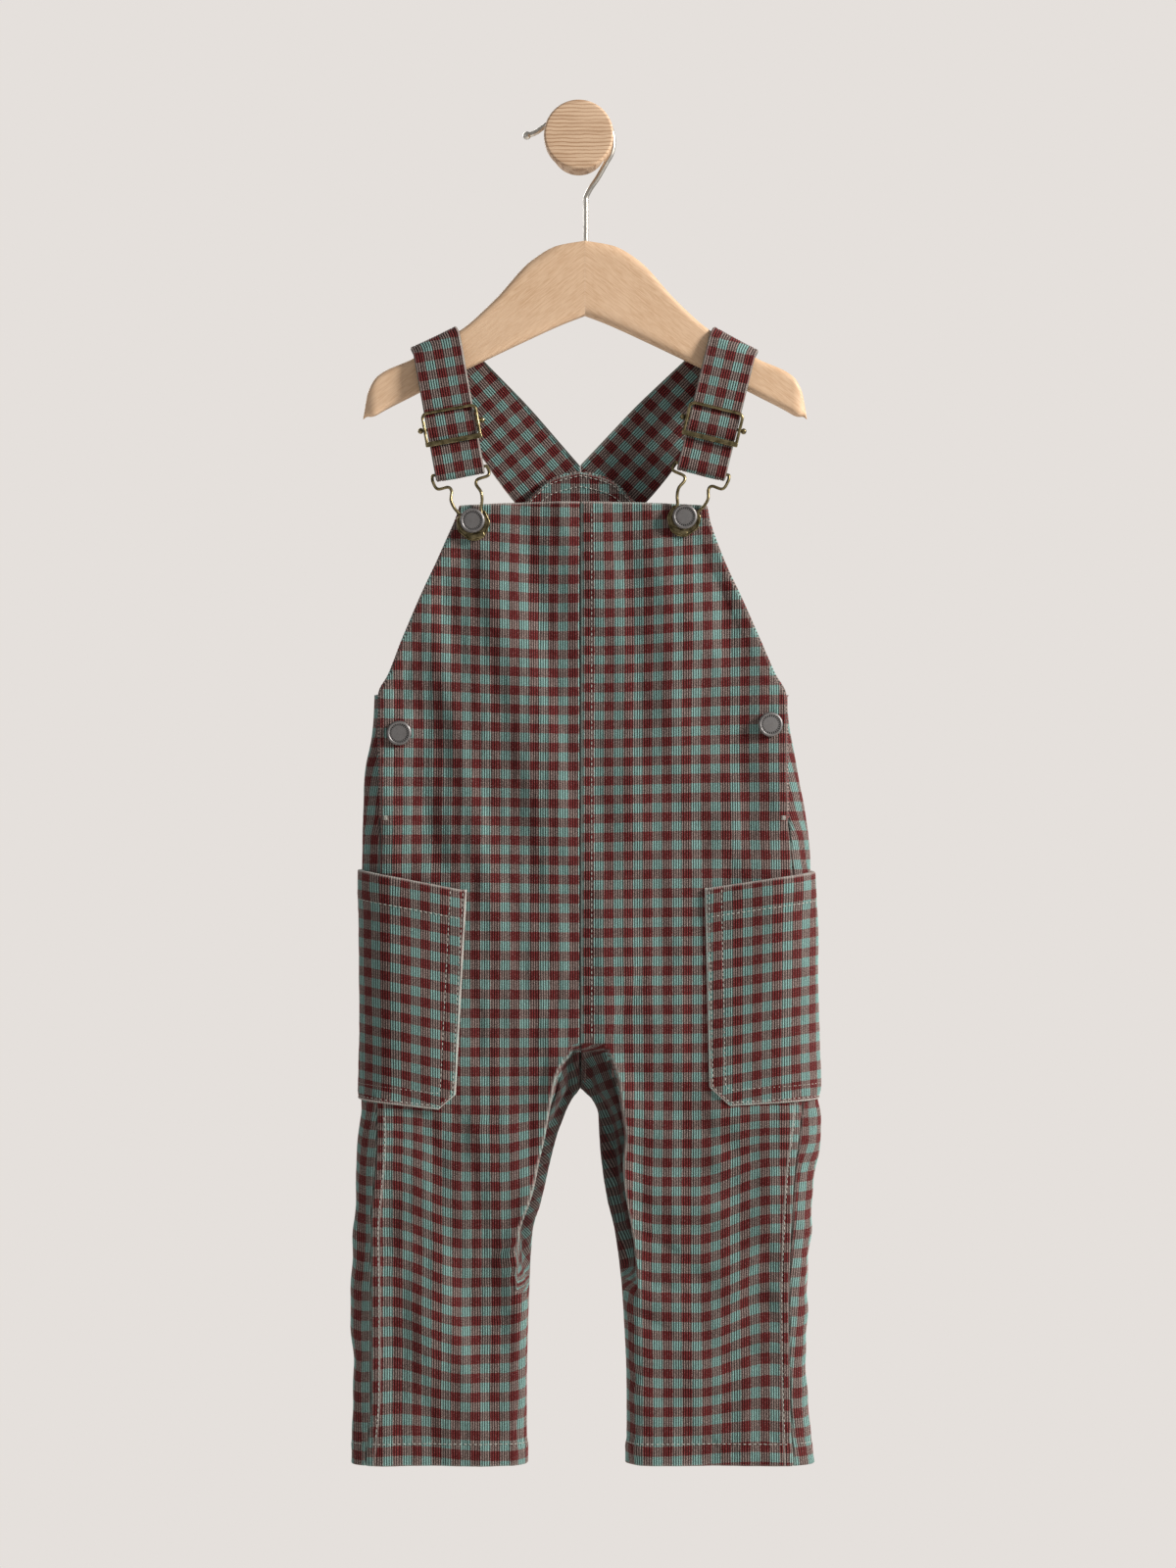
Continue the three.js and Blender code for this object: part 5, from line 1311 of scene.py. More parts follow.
def seams(key):
    """The stitched lines on a side's front and back."""
    front, back = fronts[key], backs[key]
    drops = np.arange(BIB_TOP + 4, SEAM_STITCH_END, 1.0)

    def on_front(u, drop):
        return front.lay(u, drop, front_lift(key, u, drop) + THREAD_STAND, bib_fall(key, u, drop)) / MM

    def on_back(u, drop):
        low, high = back.limits(drop)
        lift = seam_lift(key, u - low, drop) + drape("back", key, u, drop, low, high)
        return back.lay(u, drop, lift + hem_lift(u, drop, 24) + THREAD_STAND) / MM

    if key == "R":
        sew(on_front(front.limits(drops)[0] + FELL - 1, drops))
        drops = np.arange(BACK_TOP + 6, SEAM_STITCH_END, 1.0)
        sew(on_back(back.limits(drops)[0] + FELL - 1, drops))
    drops = np.arange(POCKETS[key]["foot"] + 3, HEM - HEM_DEPTH, 1.0)
    sew(on_front(front.limits(drops)[1] - 5, drops))
    line = HEM - HEM_DEPTH + 1
    for face, on_face in ((front, on_front), (back, on_back)):
        low, high = face.limits(line)
        across = np.arange(low + 1, high - 1, 1.0)
        sew(on_face(across, np.full(len(across), line)))
    # The bar tack at the foot of the side opening
    edge = front.limits(LAP_END)[1]
    for step in range(TACK_STITCHES):
        drop = np.full(5, LAP_END - 1 + 0.7 * step)
        sew(on_front(np.linspace(edge - 5.0, edge - 1.5, 5), drop), TACK_WIDTH, TACK_WIDTH)


# Straps, and where the fittings lie on them
HANGER_DEPTH = 32.0
HANGER_THICKNESS = 12.0
HANGER_EDGE = 3.0
STRAP_FRONT_WIDTH = 31.5
STRAP_BACK_WIDTH = 38.0
STRAP_BACK_FLARE = 18.0
STRAP_TAPER_SHARE = 0.65
STRAP_SEAT = 0.3
STRAP_FOLD = 1.0
STRAP_BACK_SLACK = 100.0
STRAPS = {
    "L": dict(near=(-79, -120.7), far=(-112, -136.5), foot=(-79.4, -213.4)),
    "R": dict(near=(79, -120.8), far=(111, -138.2), foot=(74.1, -212.1)),
}
FITTING_WIRE = 1.15
FOLD_BAR_DEPTH = 41.0
SLIDE_FOOT = 21.0
SLIDE_HEIGHT = 19.8
SLIDE_WIDTH = 34.2
SLIDE_BAR_HEIGHT = 3.2
SLIDE_PUFF = 1.4
RIDGE_STATION = 19.5


class StrapFrame:
    """A strap's own directions, seen flat from the front: x across and z up."""

    def __init__(self, key, sign):
        size = STRAPS[key]
        near, far, foot = (np.array(size[name], dtype=float) for name in ("near", "far", "foot"))
        self.sign = sign
        self.along = (near - far) / np.linalg.norm(near - far)
        self.up = np.array([-self.along[1], self.along[0]])
        if self.up[1] < 0:
            self.up = -self.up
        self.rise = HANGER_EDGE + STRAP_SEAT
        self.centre = (near + far) / 2 + self.up * (STRAP_SEAT - self.rise)
        run = foot - self.centre
        self.length = np.linalg.norm(run)
        self.front = run / self.length
        self.back = self.front - 2 * self.along * self.along.dot(self.front)
        self.lateral = self.sideways(self.front)
        self.back_lateral = self.sideways(self.back)

    def sideways(self, way):
        return np.array([-way[1], way[0]]) * -self.sign


def strap_line(at, share):
    """The strap's line at a share of its width, from the mitre on the back to the tail in the slide."""
    start = at.centre + at.lateral * share * STRAP_FRONT_WIDTH
    shift = -(start - at.centre).dot(at.up) / at.front.dot(at.up)
    ridge = start + at.front * shift
    front_face = HANGER_DEPTH + HANGER_THICKNESS / 2 + STRAP_SEAT
    back_face = HANGER_DEPTH - HANGER_THICKNESS / 2 - STRAP_SEAT
    bend = FITTING_WIRE + SEAM_GAP
    foot_depth = FOLD_BAR_DEPTH + bend
    slide_top = at.length - SLIDE_FOOT - SLIDE_HEIGHT
    slide_foot = at.length - SLIDE_FOOT
    slide_middle = (slide_top + slide_foot) / 2
    fold = at.length - STRAP_FOLD
    line = []
    grown = []

    def lay(flat, depth, growth=0.0):
        line.append((flat[0], -depth, flat[1]))
        grown.append(growth)

    spread = (STRAP_BACK_WIDTH - STRAP_FRONT_WIDTH) * share + STRAP_BACK_FLARE * min(0, share)
    edge = ridge + at.back_lateral * spread
    target = SEAM_X + at.sign * SEAM_GAP / 2
    run = (target - edge[0]) / at.back[0]
    for part in np.linspace(1, 0.03, 16):
        growth = float(smooth(part, 0, STRAP_TAPER_SHARE))
        spot = edge + at.back * run * part - at.back_lateral * spread * (1 - growth)
        settled = min(1, run * part / STRAP_BACK_SLACK)
        panel = float(read(DEPTHS, "back", -spot[1])) - SEAM_GAP
        lay(spot, back_face + (panel - back_face) * settled, growth)
    for turn in (0, 30, 60, 90):
        angle = math.radians(turn)
        lay(ridge + at.up * at.rise * math.sin(angle), back_face + at.rise * (1 - math.cos(angle)))
    for turn in (90, 60, 30, 0):
        angle = math.radians(turn)
        lay(ridge + at.up * at.rise * math.sin(angle), front_face - at.rise * (1 - math.cos(angle)))
    down = [(slide_top * part, 0) for part in (0.12, 0.25, 0.5, 0.75, 0.9)]
    down += [
        (slide_top + SLIDE_BAR_HEIGHT / 2, 0), ((slide_top + slide_middle) / 2, 0.8), (slide_middle, 1),
        ((slide_foot + slide_middle) / 2, 0.8), (slide_foot - SLIDE_BAR_HEIGHT / 2, 0),
        (slide_foot + SLIDE_BAR_HEIGHT, 0), ((slide_foot + fold) / 2, 0), (fold, 0),
    ]
    for distance, puff in down:
        part = min(1, distance / slide_top)
        spot = start + at.front * (shift + (distance - shift) * part)
        lay(spot, front_face + (foot_depth - front_face) * part + SLIDE_PUFF * puff)
    for turn in (30, 60, 90, 120, 150, 180):
        angle = math.radians(turn)
        lay(start + at.front * (fold + bend * math.sin(angle)), FOLD_BAR_DEPTH + bend * math.cos(angle))
    for part in (0.33, 0.66, 1):
        lay(start + at.front * (fold + (slide_middle - fold) * part), FOLD_BAR_DEPTH - bend)
    for turn in (35, 75):
        angle = math.radians(turn)
        spot = start + at.front * (slide_middle - bend * math.sin(angle))
        lay(spot, FOLD_BAR_DEPTH - bend * math.cos(angle))
    return np.array(line), np.array(grown)


def strap(key, name, sign):
    at = StrapFrame(key, sign)
    shares = np.array([-0.5, -0.25, 0, 0.25, 0.5])
    lines = [strap_line(at, share) for share in shares]
    centre = lines[2][0]
    spans = np.linalg.norm(np.diff(centre, axis=0), axis=1)
    stations = [0.0]
    for k, span in enumerate(spans):
        steps = max(1, int(math.ceil(span / 3.4)))
        stations += [k + (n + 1) / steps for n in range(steps)]
    stations = np.array(stations)

    def spline(values):
        padded = np.vstack([2 * values[0] - values[1], values, 2 * values[-1] - values[-2]])
        k = np.minimum(stations.astype(int), len(values) - 2)
        t = (stations - k)[:, None]
        a, b, c, d = (padded[k + n] for n in range(4))
        ahead, behind = np.linalg.norm(c - b, axis=1), np.linalg.norm(b - a, axis=1)
        beyond = np.linalg.norm(d - c, axis=1)
        enter = (c - b) / ahead[:, None] * 0.5 + (b - a) / np.maximum(behind, 1e-6)[:, None] * 0.5
        leave = (c - b) / ahead[:, None] * 0.5 + (d - c) / np.maximum(beyond, 1e-6)[:, None] * 0.5
        enter, leave = enter * ahead[:, None], leave * ahead[:, None]
        return ((2 * t**3 - 3 * t**2 + 1) * b + (t**3 - 2 * t**2 + t) * enter
                + (3 * t**2 - 2 * t**3) * c + (t**3 - t**2) * leave)

    grid = np.stack([spline(line) for line, _ in lines], axis=1)
    grown = np.interp(stations, np.arange(len(centre)), lines[0][1])
    along = np.gradient(grid, axis=0)
    across = np.gradient(grid, axis=1)
    out = np.cross(across, along) * sign
    out /= np.linalg.norm(out, axis=2)[:, :, None]
    lengths = np.cumsum(np.linalg.norm(np.diff(grid, axis=0), axis=2), axis=0)
    lengths = np.vstack([np.zeros(len(shares)), lengths])
    length = lengths[:, 2]
    slant = shares * STRAP_FRONT_WIDTH * at.lateral.dot(at.up) / at.front.dot(at.up)
    for n in range(len(shares)):
        lengths[:, n] -= np.interp(RIDGE_STATION, stations, lengths[:, n]) + slant[n]
    inner_width = 0.5 * (STRAP_FRONT_WIDTH + (STRAP_BACK_WIDTH - STRAP_FRONT_WIDTH) * grown)
    outer_width = inner_width + 0.5 * STRAP_BACK_FLARE * grown
    rows = [columns(-low, high) for low, high in zip(outer_width, inner_width)]

    def share_of(k, u):
        return np.where(u < 0, u / (2 * outer_width[k]), u / (2 * inner_width[k]))

    def spots(k, u, lift):
        share = share_of(k, u)
        base = np.stack([np.interp(share, shares, grid[k, :, n]) for n in range(3)], axis=1)
        way = np.stack([np.interp(share, shares, out[k, :, n]) for n in range(3)], axis=1)
        made = base + way * np.asarray(lift)[:, None]
        made[:, 0] += HANGER_X
        return made * MM

    def relief_of(k, u, seed):
        rim = np.minimum(u + outer_width[k], inner_width[k] - u)
        ends = min(length[k], length[-1] - length[k])
        stitch = -0.3 * bell(rim - 3.2, 0.6)
        wales = uneven_wale(seed, u, length[k] * 0.5)
        ripple = 0.14 * wander(seed + 1, u * 0.3, length[k] * 0.16)
        pucker = 0.2 * wander(seed + 2, u * 0.05, length[k] * 1.1) * bell(rim - 2, 2.6)
        return wales - rolled(rim, 1.2) - rolled(ends, 1.0) + stitch + ripple + pucker

    builder = Builder()
    wall(
        builder, rows,
        lambda k, u: spots(k, u, STRAP_CLOTH - 0.2 + relief_of(k, u, 41)),
        lambda k, u: spots(k, u, 0.2 - relief_of(k, u, 51)),
        lambda k, u: check_place(
            None, u, np.interp(share_of(k, u), shares, lengths[k]) - 3.0,
            # Pale strap rims, stronger on the inner edge: edge wear with painted highlight
            wear_and_painted_light=0.4 * smooth(inner_width[k] - u, 1.7, 0.6) + 0.25 * smooth(u + outer_width[k], 1.3, 0.4),
        ),
        row_skip=1, column_skip=1,
    )
    made = builder.make(f"cord_strap_{name}", CLOTH_SHARP)
    piece = dress(made, [CORD, CORD], "needlecord", f"strap_{name}")
    cut(-outer_width, inner_width)


FACING_HALF = 60.0
FACING_FOOT = 264.0
FACING_ARCH = 4.0
FACING_CLOTH = 1.0
FACING_LINES = (2.2, 9.0)


def facing():
    """The faced inside of the back's top, seen behind the bib."""
    half = FACING_HALF
    step = WALE / COLUMNS_A_WALE
    across = np.arange(-half, half + step, step)

    def spot(share, reach, lift):
        away = np.abs(reach)
        top = read(ARMHOLE, "drop", away, "reach") + 0.4
        foot = np.maximum(top + 4, FACING_FOOT - FACING_ARCH * (away / half) ** 2)
        drop = top + (foot - top) * share
        depth = np.array([
            Section("R", LEVEL_TOP).face("back", np.array([r]))[0]
            - read(DEPTHS, "back", LEVEL_TOP) + read(DEPTHS, "back", d)
            for r, d in zip(away[::8], drop[::8])
        ])
        depth = np.interp(reach, reach[::8], depth)
        return np.stack([reach, depth + PANEL_CLOTH + 0.3 + lift, drop], axis=1), drop - top, foot - drop

    def lay(share, reach, lift):
        flat, _, _ = spot(share, reach, lift)
        return np.stack([HANGER_X + SEAM_X + flat[:, 0], -flat[:, 1], -flat[:, 2]], axis=1) * MM

    def lift(share, reach):
        _, below, above = spot(share, reach, 0.0)
        sunk = -rolled(below, 0.8) - rolled(above, 0.8)
        for line in FACING_LINES:
            sunk = sunk - 0.3 * bell(below - line, 0.6)
        return FACING_CLOTH + sunk + wale(reach) * 0.8

    def place(share, reach):
        flat, below, _ = spot(share, reach, 0.0)
        # A pale top edge: edge wear with painted highlight
        wear_and_painted_light = 0.2 * smooth(below, 1.4, 0.4)
        return check_place(None, reach, flat[:, 2], (3.1, 4.0), wear_and_painted_light)

    shares = np.concatenate([[0, 0.01, 0.025], np.linspace(0.05, 0.97, 16), [0.985, 1.0]])
    builder = Builder()
    wall(
        builder, [across] * len(shares),
        lambda k, u: lay(shares[k], u, lift(shares[k], u)),
        lambda k, u: lay(shares[k], u, 0.0 * u),
        lambda k, u: place(shares[k], u),
        row_skip=2,
    )
    inside = across[4:-4]
    for line in FACING_LINES:
        _, _, above = spot(0.0, inside, 0.0)
        share = line / above
        sew(lay(share, inside, FACING_CLOTH + THREAD_STAND) / MM)
    made = builder.make("cord_facing", CLOTH_SHARP)
    piece = dress(made, [CORD, LINING], "needlecord")
    flat, _, above = spot(0.0, across, 0.0)
    cut(flat[:, 2], flat[:, 2] + above)


for key, name, sign in SIDES:
    front_panel(key, name)
    back_panel(key, name)
    pocket(key, name)
    strap(key, name, sign)
    seams(key)
facing()
dress(stitches.make("sewing"), [THREAD], "needlecord")

# Hanger, hook and peg. Reaches run from the hanger's middle, x from HANGER_X.
HANGER_TOP = table(
    "reach drop",
    (0, 64.7), (17.5, 67.9), (34.3, 77.5), (56.8, 101.6), (77.4, 120.3), (110.5, 140.3), (129.3, 148.9),
    (138.2, 158.5), (141.4, 174),
)
HANGER_UNDER = table(
    "reach drop",
    (0, 112.2), (13.1, 117.2), (40.6, 129.7), (75.6, 146.5), (108.7, 162.8), (137.5, 178.5), (141.4, 182),
)
HANGER_ROUND = 3.4
HANGER_TIP_SPAN = 9.0
MITRE_GAP = 0.02
HANGER_STEP = 1.5
HOOK_WIRE = 1.7
HOOK_RADIUS = 21.7
HOOK_X = -3.7
HOOK_STEM_X = 0.6
HOOK_BEND = (
    (HOOK_STEM_X, 80), (HOOK_STEM_X, 60), (HOOK_STEM_X, 41), (HOOK_STEM_X, 37), (3.2, 31.5), (8, 24.5),
)
HOOK_CROOK_TURNS = (-38, -20, 0, 22, 45, 68, 90, 112, 135)
HOOK_END = ((-26, -8.5), (-31.5, -4.5), (-37, -2.6))
HOOK_TIP = 2.6
PEG_NECK_RADIUS = 18.0
PEG_NECK_DEPTH = 40.0
PEG_KNOB_RADIUS = 22.0
PEG_DEPTH = 54.0
PEG_EDGE = 1.6
PEG_FACE_RADII = (17, 11, 5, 0.5)


def lathe(profile, around=64):
    """Points and triangles of a turned shape. profile holds radii and heights along z."""
    turn = np.linspace(0, 2 * math.pi, around, endpoint=False)
    rings = [
        np.stack([radius * np.cos(turn), radius * np.sin(turn), np.full(around, height)], axis=1)
        for radius, height in profile
    ]
    return np.concatenate(rings), ring_faces(len(profile), around)


def arc(centre, radius, start, end, count=7):
    """Profile points round an arc, in degrees."""
    return [
        (centre[0] + radius * math.cos(math.radians(a)), centre[1] + radius * math.sin(math.radians(a)))
        for a in np.linspace(start, end, count)
    ]


def hanger_half(name, sign):
    """A rounded bar with a flat end at the mitre and a round tip."""
    tip = HANGER_TOP["reach"][-1]
    reaches = np.append(np.arange(MITRE_GAP, tip - HANGER_TIP_SPAN, HANGER_STEP), tip - HANGER_TIP_SPAN)
    tail = tip - HANGER_TIP_SPAN * (1 - np.sin(np.linspace(0, math.pi / 2, 14)[1:]))
    around = 64
    turn = np.linspace(0, 2 * math.pi, around, endpoint=False)
    cos, sin = np.cos(turn), np.sin(turn)
    to_edge = 1 / np.maximum(np.abs(cos), np.abs(sin))
    rings = []
    for reach in np.append(reaches, tail):
        top = float(read(HANGER_TOP, "drop", reach, "reach"))
        foot = float(read(HANGER_UNDER, "drop", reach, "reach"))
        part = max(0.0, (reach - tip + HANGER_TIP_SPAN) / HANGER_TIP_SPAN)
        shrunk = max(0.06, math.sqrt(max(0.0, 1 - part**2)))
        middle, half = (top + foot) / 2, (foot - top) / 2 * shrunk
        thick = HANGER_THICKNESS / 2 * shrunk
        corner = min(HANGER_ROUND, half, thick)
        flat = np.stack([cos * half * to_edge, sin * thick * to_edge], axis=1)
        core = np.clip(flat, (-half + corner, -thick + corner), (half - corner, thick - corner))
        away = flat - core
        size = np.linalg.norm(away, axis=1)[:, None]
        flat = np.where(size > 1e-6, core + away / np.maximum(size, 1e-6) * np.minimum(size, corner), flat)
        rings.append(np.stack([
            np.full(around, HANGER_X + sign * reach), -HANGER_DEPTH - flat[:, 1], -middle - flat[:, 0],
        ], axis=1))
    builder = Builder()
    builder.add(np.concatenate(rings) * MM, ring_faces(len(rings), around))
    dress(builder.make(f"wood_{name}", 40), [BEECH], "beech", f"hanger_{name}")


def hook_and_peg():
    rise = PEG_NECK_RADIUS + SEAM_GAP + 1.8 - HOOK_RADIUS
    spots = list(HOOK_BEND)
    for turn in HOOK_CROOK_TURNS:
        angle = math.radians(turn)
        spots.append((HOOK_X + HOOK_RADIUS * math.cos(angle), -rise - HOOK_RADIUS * math.sin(angle)))
    spots += HOOK_END
    line = curve_through([(HANGER_X + x, -HANGER_DEPTH, -drop) for x, drop in spots], 10)
    line, _ = resampled(line, 0.8)
    builder = Builder()
    points, triangles = tube(line, HOOK_WIRE, sides=20)
    builder.add(points * MM, triangles)
    ball, triangles = lathe(arc((0, 0), HOOK_TIP, -88, 88, 17), 24)
    builder.add((ball + line[-1]) * MM, triangles)
    dress(builder.make("wire_hook", 60), [WIRE], "satin_wire", "hanger_hook")

    profile = [(PEG_NECK_RADIUS - 0.4, 0), (PEG_NECK_RADIUS, 0.4), (PEG_NECK_RADIUS, PEG_NECK_DEPTH - 0.6)]
    profile += arc((PEG_KNOB_RADIUS - PEG_EDGE, PEG_NECK_DEPTH + PEG_EDGE), PEG_EDGE, -90, 0)
    profile += arc((PEG_KNOB_RADIUS - PEG_EDGE, PEG_DEPTH - PEG_EDGE), PEG_EDGE, 0, 90, 9)
    profile += [(radius, PEG_DEPTH) for radius in PEG_FACE_RADII]
    builder = Builder()
    points, triangles = lathe(profile, 120)
    points = np.stack([points[:, 0], -points[:, 2], points[:, 1]], axis=1)
    builder.add(points * MM, triangles)
    dress(builder.make("turned_peg", 45), [BEECH_END], "beech", "wall_peg")


# Slides, bib hooks and buttons
SLIDE_WIRE = 1.0
SLIDE_CORNER = 3.2
SLIDE_BALL = 1.9
SLIDE_BAR_THICKNESS = 1.6
SLIDE_LOOSE_WIRE = 1.0
HOOK_BAR_HALF = 17.6
BIB_HOOK_WIRE = 1.0
BIB_HOOK_OUTLINE = (
    # share of the bar's half across, share of the way down, and whether it follows the bar
    (1, -0.02, 1), (1.03, 0.1, 1), (0.93, 0.22, 0), (0.55, 0.24, 0), (0.46, 0.33, 0), (0.56, 0.5, 0),
    (0.52, 0.66, 0), (0.4, 0.82, 0), (0.36, 1.02, 0),
)
PLATE_CORNERS = (
    (-0.72, -0.35), (0.72, -0.35), (0.82, 0.3), (0.4, 0.9), (0, 1), (-0.4, 0.9), (-0.82, 0.3),
)
PLATE_SECTION = (
    # share of the plate's outline, and of its thickness in front of its middle
    (0.42, -0.5), (0.96, -0.5), (1.0, -0.25), (1.0, 0.25), (0.96, 0.5), (0.9, 0.42), (0.42, 0.42),
    (0.42, -0.5),
)
PLATE_REACH = 12.4
PLATE_THICKNESS = 1.2
PLATE_RIM = 0.62
BUTTON_RADIUS = 7.8
BUTTON_NECK = 3.4
BIB_BUTTON_STAND = 5.0
SIDE_BUTTON_STAND = 1.2
BUTTON_TICKS = 26


def rounded_bar(start, end, up, half_height, half_depth, around=20):
    """A bar between two points with softly rounded sides and ends."""
    start, end, up = (np.asarray(v, dtype=float) for v in (start, end, up))
    along = (end - start) / np.linalg.norm(end - start)
    side = np.cross(along, up)
    turn = np.linspace(0, 2 * math.pi, around, endpoint=False)
    cos, sin = np.cos(turn), np.sin(turn)
    ring = np.stack([np.sign(cos) * np.abs(cos) ** 0.5 * half_height,
                     np.sign(sin) * np.abs(sin) ** 0.5 * half_depth], axis=1)
    length = np.linalg.norm(end - start)
    rings = []
    ends = ((0, 0.6), (0.25, 0.9), (0.6, 1))
    for at, share in (*ends, *((length - at, share) for at, share in ends[::-1])):
        centre = start + along * at
        rings.append(centre + share * (ring[:, :1] * up + ring[:, 1:] * side))
    return np.concatenate(rings), ring_faces(len(rings), around)


def on_strap(key, sign, x, y, z):
    """A point drawn flat on a strap at its slide: across, up the strap, and forwards."""
    at = StrapFrame(key, sign)
    right = at.lateral if at.lateral[0] > 0 else -at.lateral
    flat = at.centre + at.front * (at.length - SLIDE_FOOT - y) + right * x
    return np.array([HANGER_X + flat[0], -(FOLD_BAR_DEPTH + z), flat[1]])


def slide(key, name, sign):
    half = SLIDE_WIDTH / 2
    front = 2 * FITTING_WIRE + 2 * SEAM_GAP + STRAP_CLOTH
    corner = SLIDE_CORNER

    def spot(x, y, z=front):
        return on_strap(key, sign, x, y, z)

    path = [(-half, 0)]
    path += arc((-half + corner, SLIDE_HEIGHT - corner), corner, 180, 90)
    path += arc((half - corner, SLIDE_HEIGHT - corner), corner, 90, 0)
    path += [(half, 0)]
    line, _ = resampled([spot(x, y) for x, y in path], 0.5)
    builder = Builder()
    for points, triangles in (
        tube(line, SLIDE_WIRE, sides=12),
        rounded_bar(
            spot(-half - 1.1, 0, front + 0.2), spot(half + 1.1, 0, front + 0.2),
            (spot(0, 1) - spot(0, 0)), SLIDE_BAR_HEIGHT / 2, SLIDE_BAR_THICKNESS / 2,
        ),
        tube([spot(x, SLIDE_HEIGHT / 2, 0) for x in np.linspace(-half - 2.4, half + 2.4, 24)],
             SLIDE_LOOSE_WIRE, sides=12),
    ):
        builder.add(points * MM, triangles)
    for end in (-1, 1):
        ball, triangles = lathe(arc((0, 0), SLIDE_BALL, -88, 88, 13), 20)
        builder.add((ball + spot(end * (half + 2.7), SLIDE_HEIGHT / 2, 0)) * MM, triangles)
        ear = [spot(end * half, SLIDE_HEIGHT / 2, z) for z in np.linspace(0, front, 8)]
        points, triangles = tube(ear, 0.9, sides=12)
        builder.add(points * MM, triangles)
    dress(builder.make(f"brass_slide_{name}", 50), [BRASS], "old_brass", f"slide_{name}")


def bib_depth(key, span=0.0):
    across, drop = BUTTONS[key]["bib"]
    reach = abs(across - SEAM_X) - SEAM_GAP / 2
    depths = [
        Section(key, drop + down).face("front", np.array([reach - span, reach, reach + span])).max()
        for down in (-span, 0, span)
    ]
    return max(depths)


def bib_hook(key, name, sign):
    at = StrapFrame(key, sign)
    across, drop = BUTTONS[key]["bib"]
    top = at.centre + at.front * (at.length - STRAP_FOLD)
    foot = np.array([across, -drop])
    fall = foot - top
    reach = np.linalg.norm(fall)
    down = fall / reach
    right = np.array([-down[1], down[0]])
    bar_right = at.lateral if at.lateral[0] > 0 else -at.lateral
    plate_depth = bib_depth(key, PLATE_REACH) + SEAM_GAP + PLATE_THICKNESS / 2

    def spot(row, side):
        axis = bar_right if row[2] else right
        flat = top + down * row[1] * reach + axis * side * row[0] * HOOK_BAR_HALF
        part = min(1, max(0, row[1] / 0.5))
        depth = FOLD_BAR_DEPTH + (plate_depth + 0.7 - FOLD_BAR_DEPTH) * part
        return (HANGER_X + flat[0], -depth, flat[1])

    left = [spot(row, -1) for row in BIB_HOOK_OUTLINE][::-1]
    other = [spot(row, 1) for row in BIB_HOOK_OUTLINE]
    cross = [np.array(left[-1]) * (1 - t) + np.array(other[0]) * t for t in np.linspace(0.04, 0.96, 20)]
    line, _ = resampled(np.vstack([curve_through(left), cross, curve_through(other)]), 0.6)
    builder = Builder()
    points, triangles = tube(line, BIB_HOOK_WIRE, sides=12)
    builder.add(points * MM, triangles)

    corners = [foot + right * x * PLATE_REACH + down * y * PLATE_REACH for x, y in PLATE_CORNERS]
    outline = []
    for k, corner in enumerate(corners):
        before, after = corners[k - 1], corners[(k + 1) % len(corners)]
        enter = corner + (before - corner) / np.linalg.norm(before - corner) * 1.3
        leave = corner + (after - corner) / np.linalg.norm(after - corner) * 1.3
        for t in (0, 0.25, 0.5, 0.75, 1):
            outline.append((1 - t) ** 2 * enter + 2 * t * (1 - t) * corner + t * t * leave)
    outline = np.array(outline)
    centre = outline.mean(axis=0)
    rings = []
    for share, depth in PLATE_SECTION:
        flat = centre + (outline - centre) * share
        rings.append(np.stack([
            HANGER_X + flat[:, 0], np.full(len(flat), -plate_depth - depth * PLATE_THICKNESS), flat[:, 1],
        ], axis=1))
    skin = ring_faces(len(rings), len(outline))[:-2 * (len(outline) - 2)]
    builder.add(np.concatenate(rings) * MM, skin)
    rim = np.vstack([outline, outline[:1]])
    rim = np.stack([HANGER_X + rim[:, 0], np.full(len(rim), -plate_depth - 0.55), rim[:, 1]], axis=1)
    points, triangles = tube(rim, PLATE_RIM, sides=8, ends=False)
    builder.add(points * MM, triangles)
    # The plate's folded lip
    lip = [foot + right * x * PLATE_REACH + down * 0.8 * PLATE_REACH for x in (-0.42, 0.42)]
    ends = [np.array([HANGER_X + p[0], -plate_depth - 0.9, p[1]]) for p in lip]
    points, triangles = rounded_bar(ends[0], ends[1], np.array([down[0], 0, down[1]]), 1.7, 0.8)
    builder.add(points * MM, triangles)
    dress(builder.make(f"brass_hook_{name}", 50), [BRASS], "old_brass", f"bib_hook_{name}")


def button(node, stand, base, normal):
    """A jeans button with a raised rim, a flat sunk disc and a ring of plain ticks."""
    size = BUTTON_RADIUS
    profile = [(0.4, SEAM_GAP), (BUTTON_NECK, SEAM_GAP), (BUTTON_NECK, stand)]
    profile += [(size * 0.93, stand)] + arc((size - 0.8, stand + 0.8), 0.8, -60, 60, 8)
    profile += arc((size - 1.1, stand + 1.5), 0.75, 40, 140, 7)
    profile += [(size * 0.8, stand + 1.75), (size * 0.4, stand + 1.8), (0.3, stand + 1.82)]
    parts = [(*lathe(profile, 72), 0)]
    for turn in np.linspace(0, 2 * math.pi, BUTTON_TICKS, endpoint=False):
        way = np.array([math.cos(turn), math.sin(turn), 0])
        line = [way * radius + (0, 0, stand + 1.76) for radius in (size * 0.64, size * 0.69, size * 0.74)]
        parts.append((*tube(line, 0.26, sides=6, cap_rounds=1), 1))
    normal = np.asarray(normal, dtype=float)
    normal = normal / np.linalg.norm(normal)
    side = np.cross((0, 0, 1), normal)
    side /= np.linalg.norm(side)
    up = np.cross(normal, side)
    builder = Builder()
    for points, triangles, marked in parts:
        placed = points[:, :1] * side + points[:, 1:2] * up + points[:, 2:] * normal
        builder.add((placed + base) * MM, triangles, inside=np.full(len(triangles), marked))
    dress(builder.make(f"cap_{node}", 35), [GUNMETAL, TICKS], "gunmetal", node)


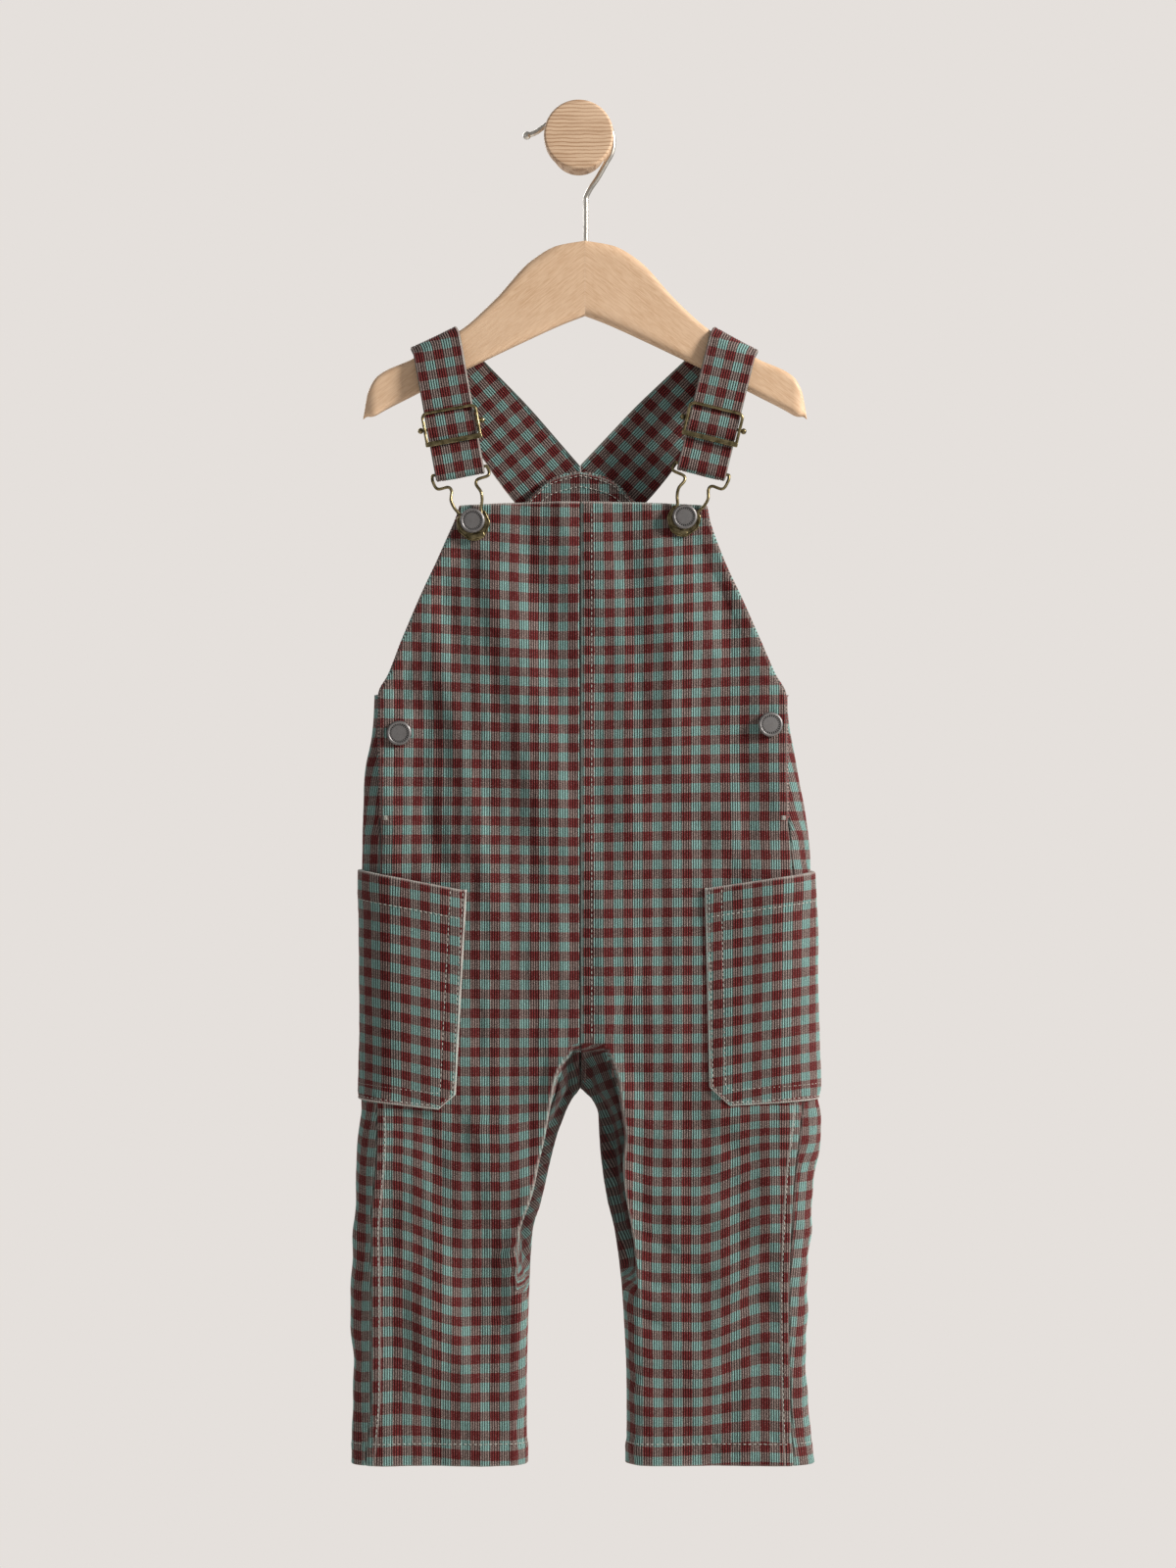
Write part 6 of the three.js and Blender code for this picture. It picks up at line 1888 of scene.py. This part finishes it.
for key, name, sign in SIDES:
    hanger_half(name, sign)
    slide(key, name, sign)
    bib_hook(key, name, sign)
    across, drop = BUTTONS[key]["bib"]
    button(f"bib_button_{name}", BIB_BUTTON_STAND,
           np.array([HANGER_X + across, -bib_depth(key), -drop]), (0, -1, 0))
    reach, drop = BUTTONS[key]["side"]
    level = Section(key, drop)
    before, depth, after = (float(d) for d in level.face("front", reach + np.array([-0.5, 0, 0.5])))
    place = np.array([HANGER_X + SEAM_X + sign * (reach + SEAM_GAP / 2), -depth, -drop])
    button(f"side_button_{name}", SIDE_BUTTON_STAND, place, (sign * (before - after), -1, 0))
hook_and_peg()


def area_light(name, place, target, size, power, tint=(1.0, 1.0, 1.0)):
    data = bpy.data.lights.new(name, "AREA")
    data.shape = "DISK"
    data.size = size
    data.energy = power
    data.color = tint
    lamp = bpy.data.objects.new(name, data)
    lamp.location = place
    lamp.rotation_euler = (Vector(target) - Vector(place)).to_track_quat("-Z", "Y").to_euler()
    bpy.context.scene.collection.objects.link(lamp)


FLOOR_DROP = 1.2
SKY = 0.36
LENS = 90.7
SENSOR = 36.0
CAMERA_PLACE = (0.0059, -2.55, -0.4107)
bpy.ops.mesh.primitive_plane_add(size=2.4, location=(0, 0, -FLOOR_DROP))
floor = bpy.context.object
floor.name = "floor"
floor_paint = Paint("floor")
speck = floor_paint.noise(floor_paint.solid_place(), 90.0, 3.0)
floor.data.materials.append(floor_paint.finish(
    Base_Color=floor_paint.mix(speck, colour(232, 227, 222), colour(226, 221, 216)), Roughness=0.8,
))

world = bpy.data.worlds.new("studio")
bpy.context.scene.world = world
world.use_nodes = True
sky = world.node_tree.nodes["Background"]
sky.inputs[0].default_value = colour(226, 223, 221)
sky.inputs[1].default_value = SKY
seen = world.node_tree.nodes.new("ShaderNodeBackground")
seen.inputs[0].default_value = colour(229, 224, 220)
rays = world.node_tree.nodes.new("ShaderNodeLightPath")
blend = world.node_tree.nodes.new("ShaderNodeMixShader")
for start, end in (
    (rays.outputs["Is Camera Ray"], blend.inputs[0]), (sky.outputs[0], blend.inputs[1]),
    (seen.outputs[0], blend.inputs[2]), (blend.outputs[0], world.node_tree.nodes["World Output"].inputs[0]),
):
    world.node_tree.links.new(start, end)

middle = (0.004, -0.03, -0.42)
area_light("key", (2.4, -1.0, 0.75), middle, 0.6, 112.0, (1.0, 0.98, 0.95))
area_light("fill", (-1.9, -1.7, -0.1), middle, 1.6, 4.0, (0.95, 0.97, 1.0))
area_light("rear", (-1.2, 2.0, 0.8), middle, 2.0, 38.0)

camera_data = bpy.data.cameras.new("camera")
camera_data.lens = LENS
camera_data.sensor_width = SENSOR
camera = bpy.data.objects.new("camera", camera_data)
camera.location = CAMERA_PLACE
camera.rotation_euler = (math.radians(90), 0, 0)
bpy.context.scene.collection.objects.link(camera)
bpy.context.scene.camera = camera
bpy.context.scene.view_settings.view_transform = "Standard"
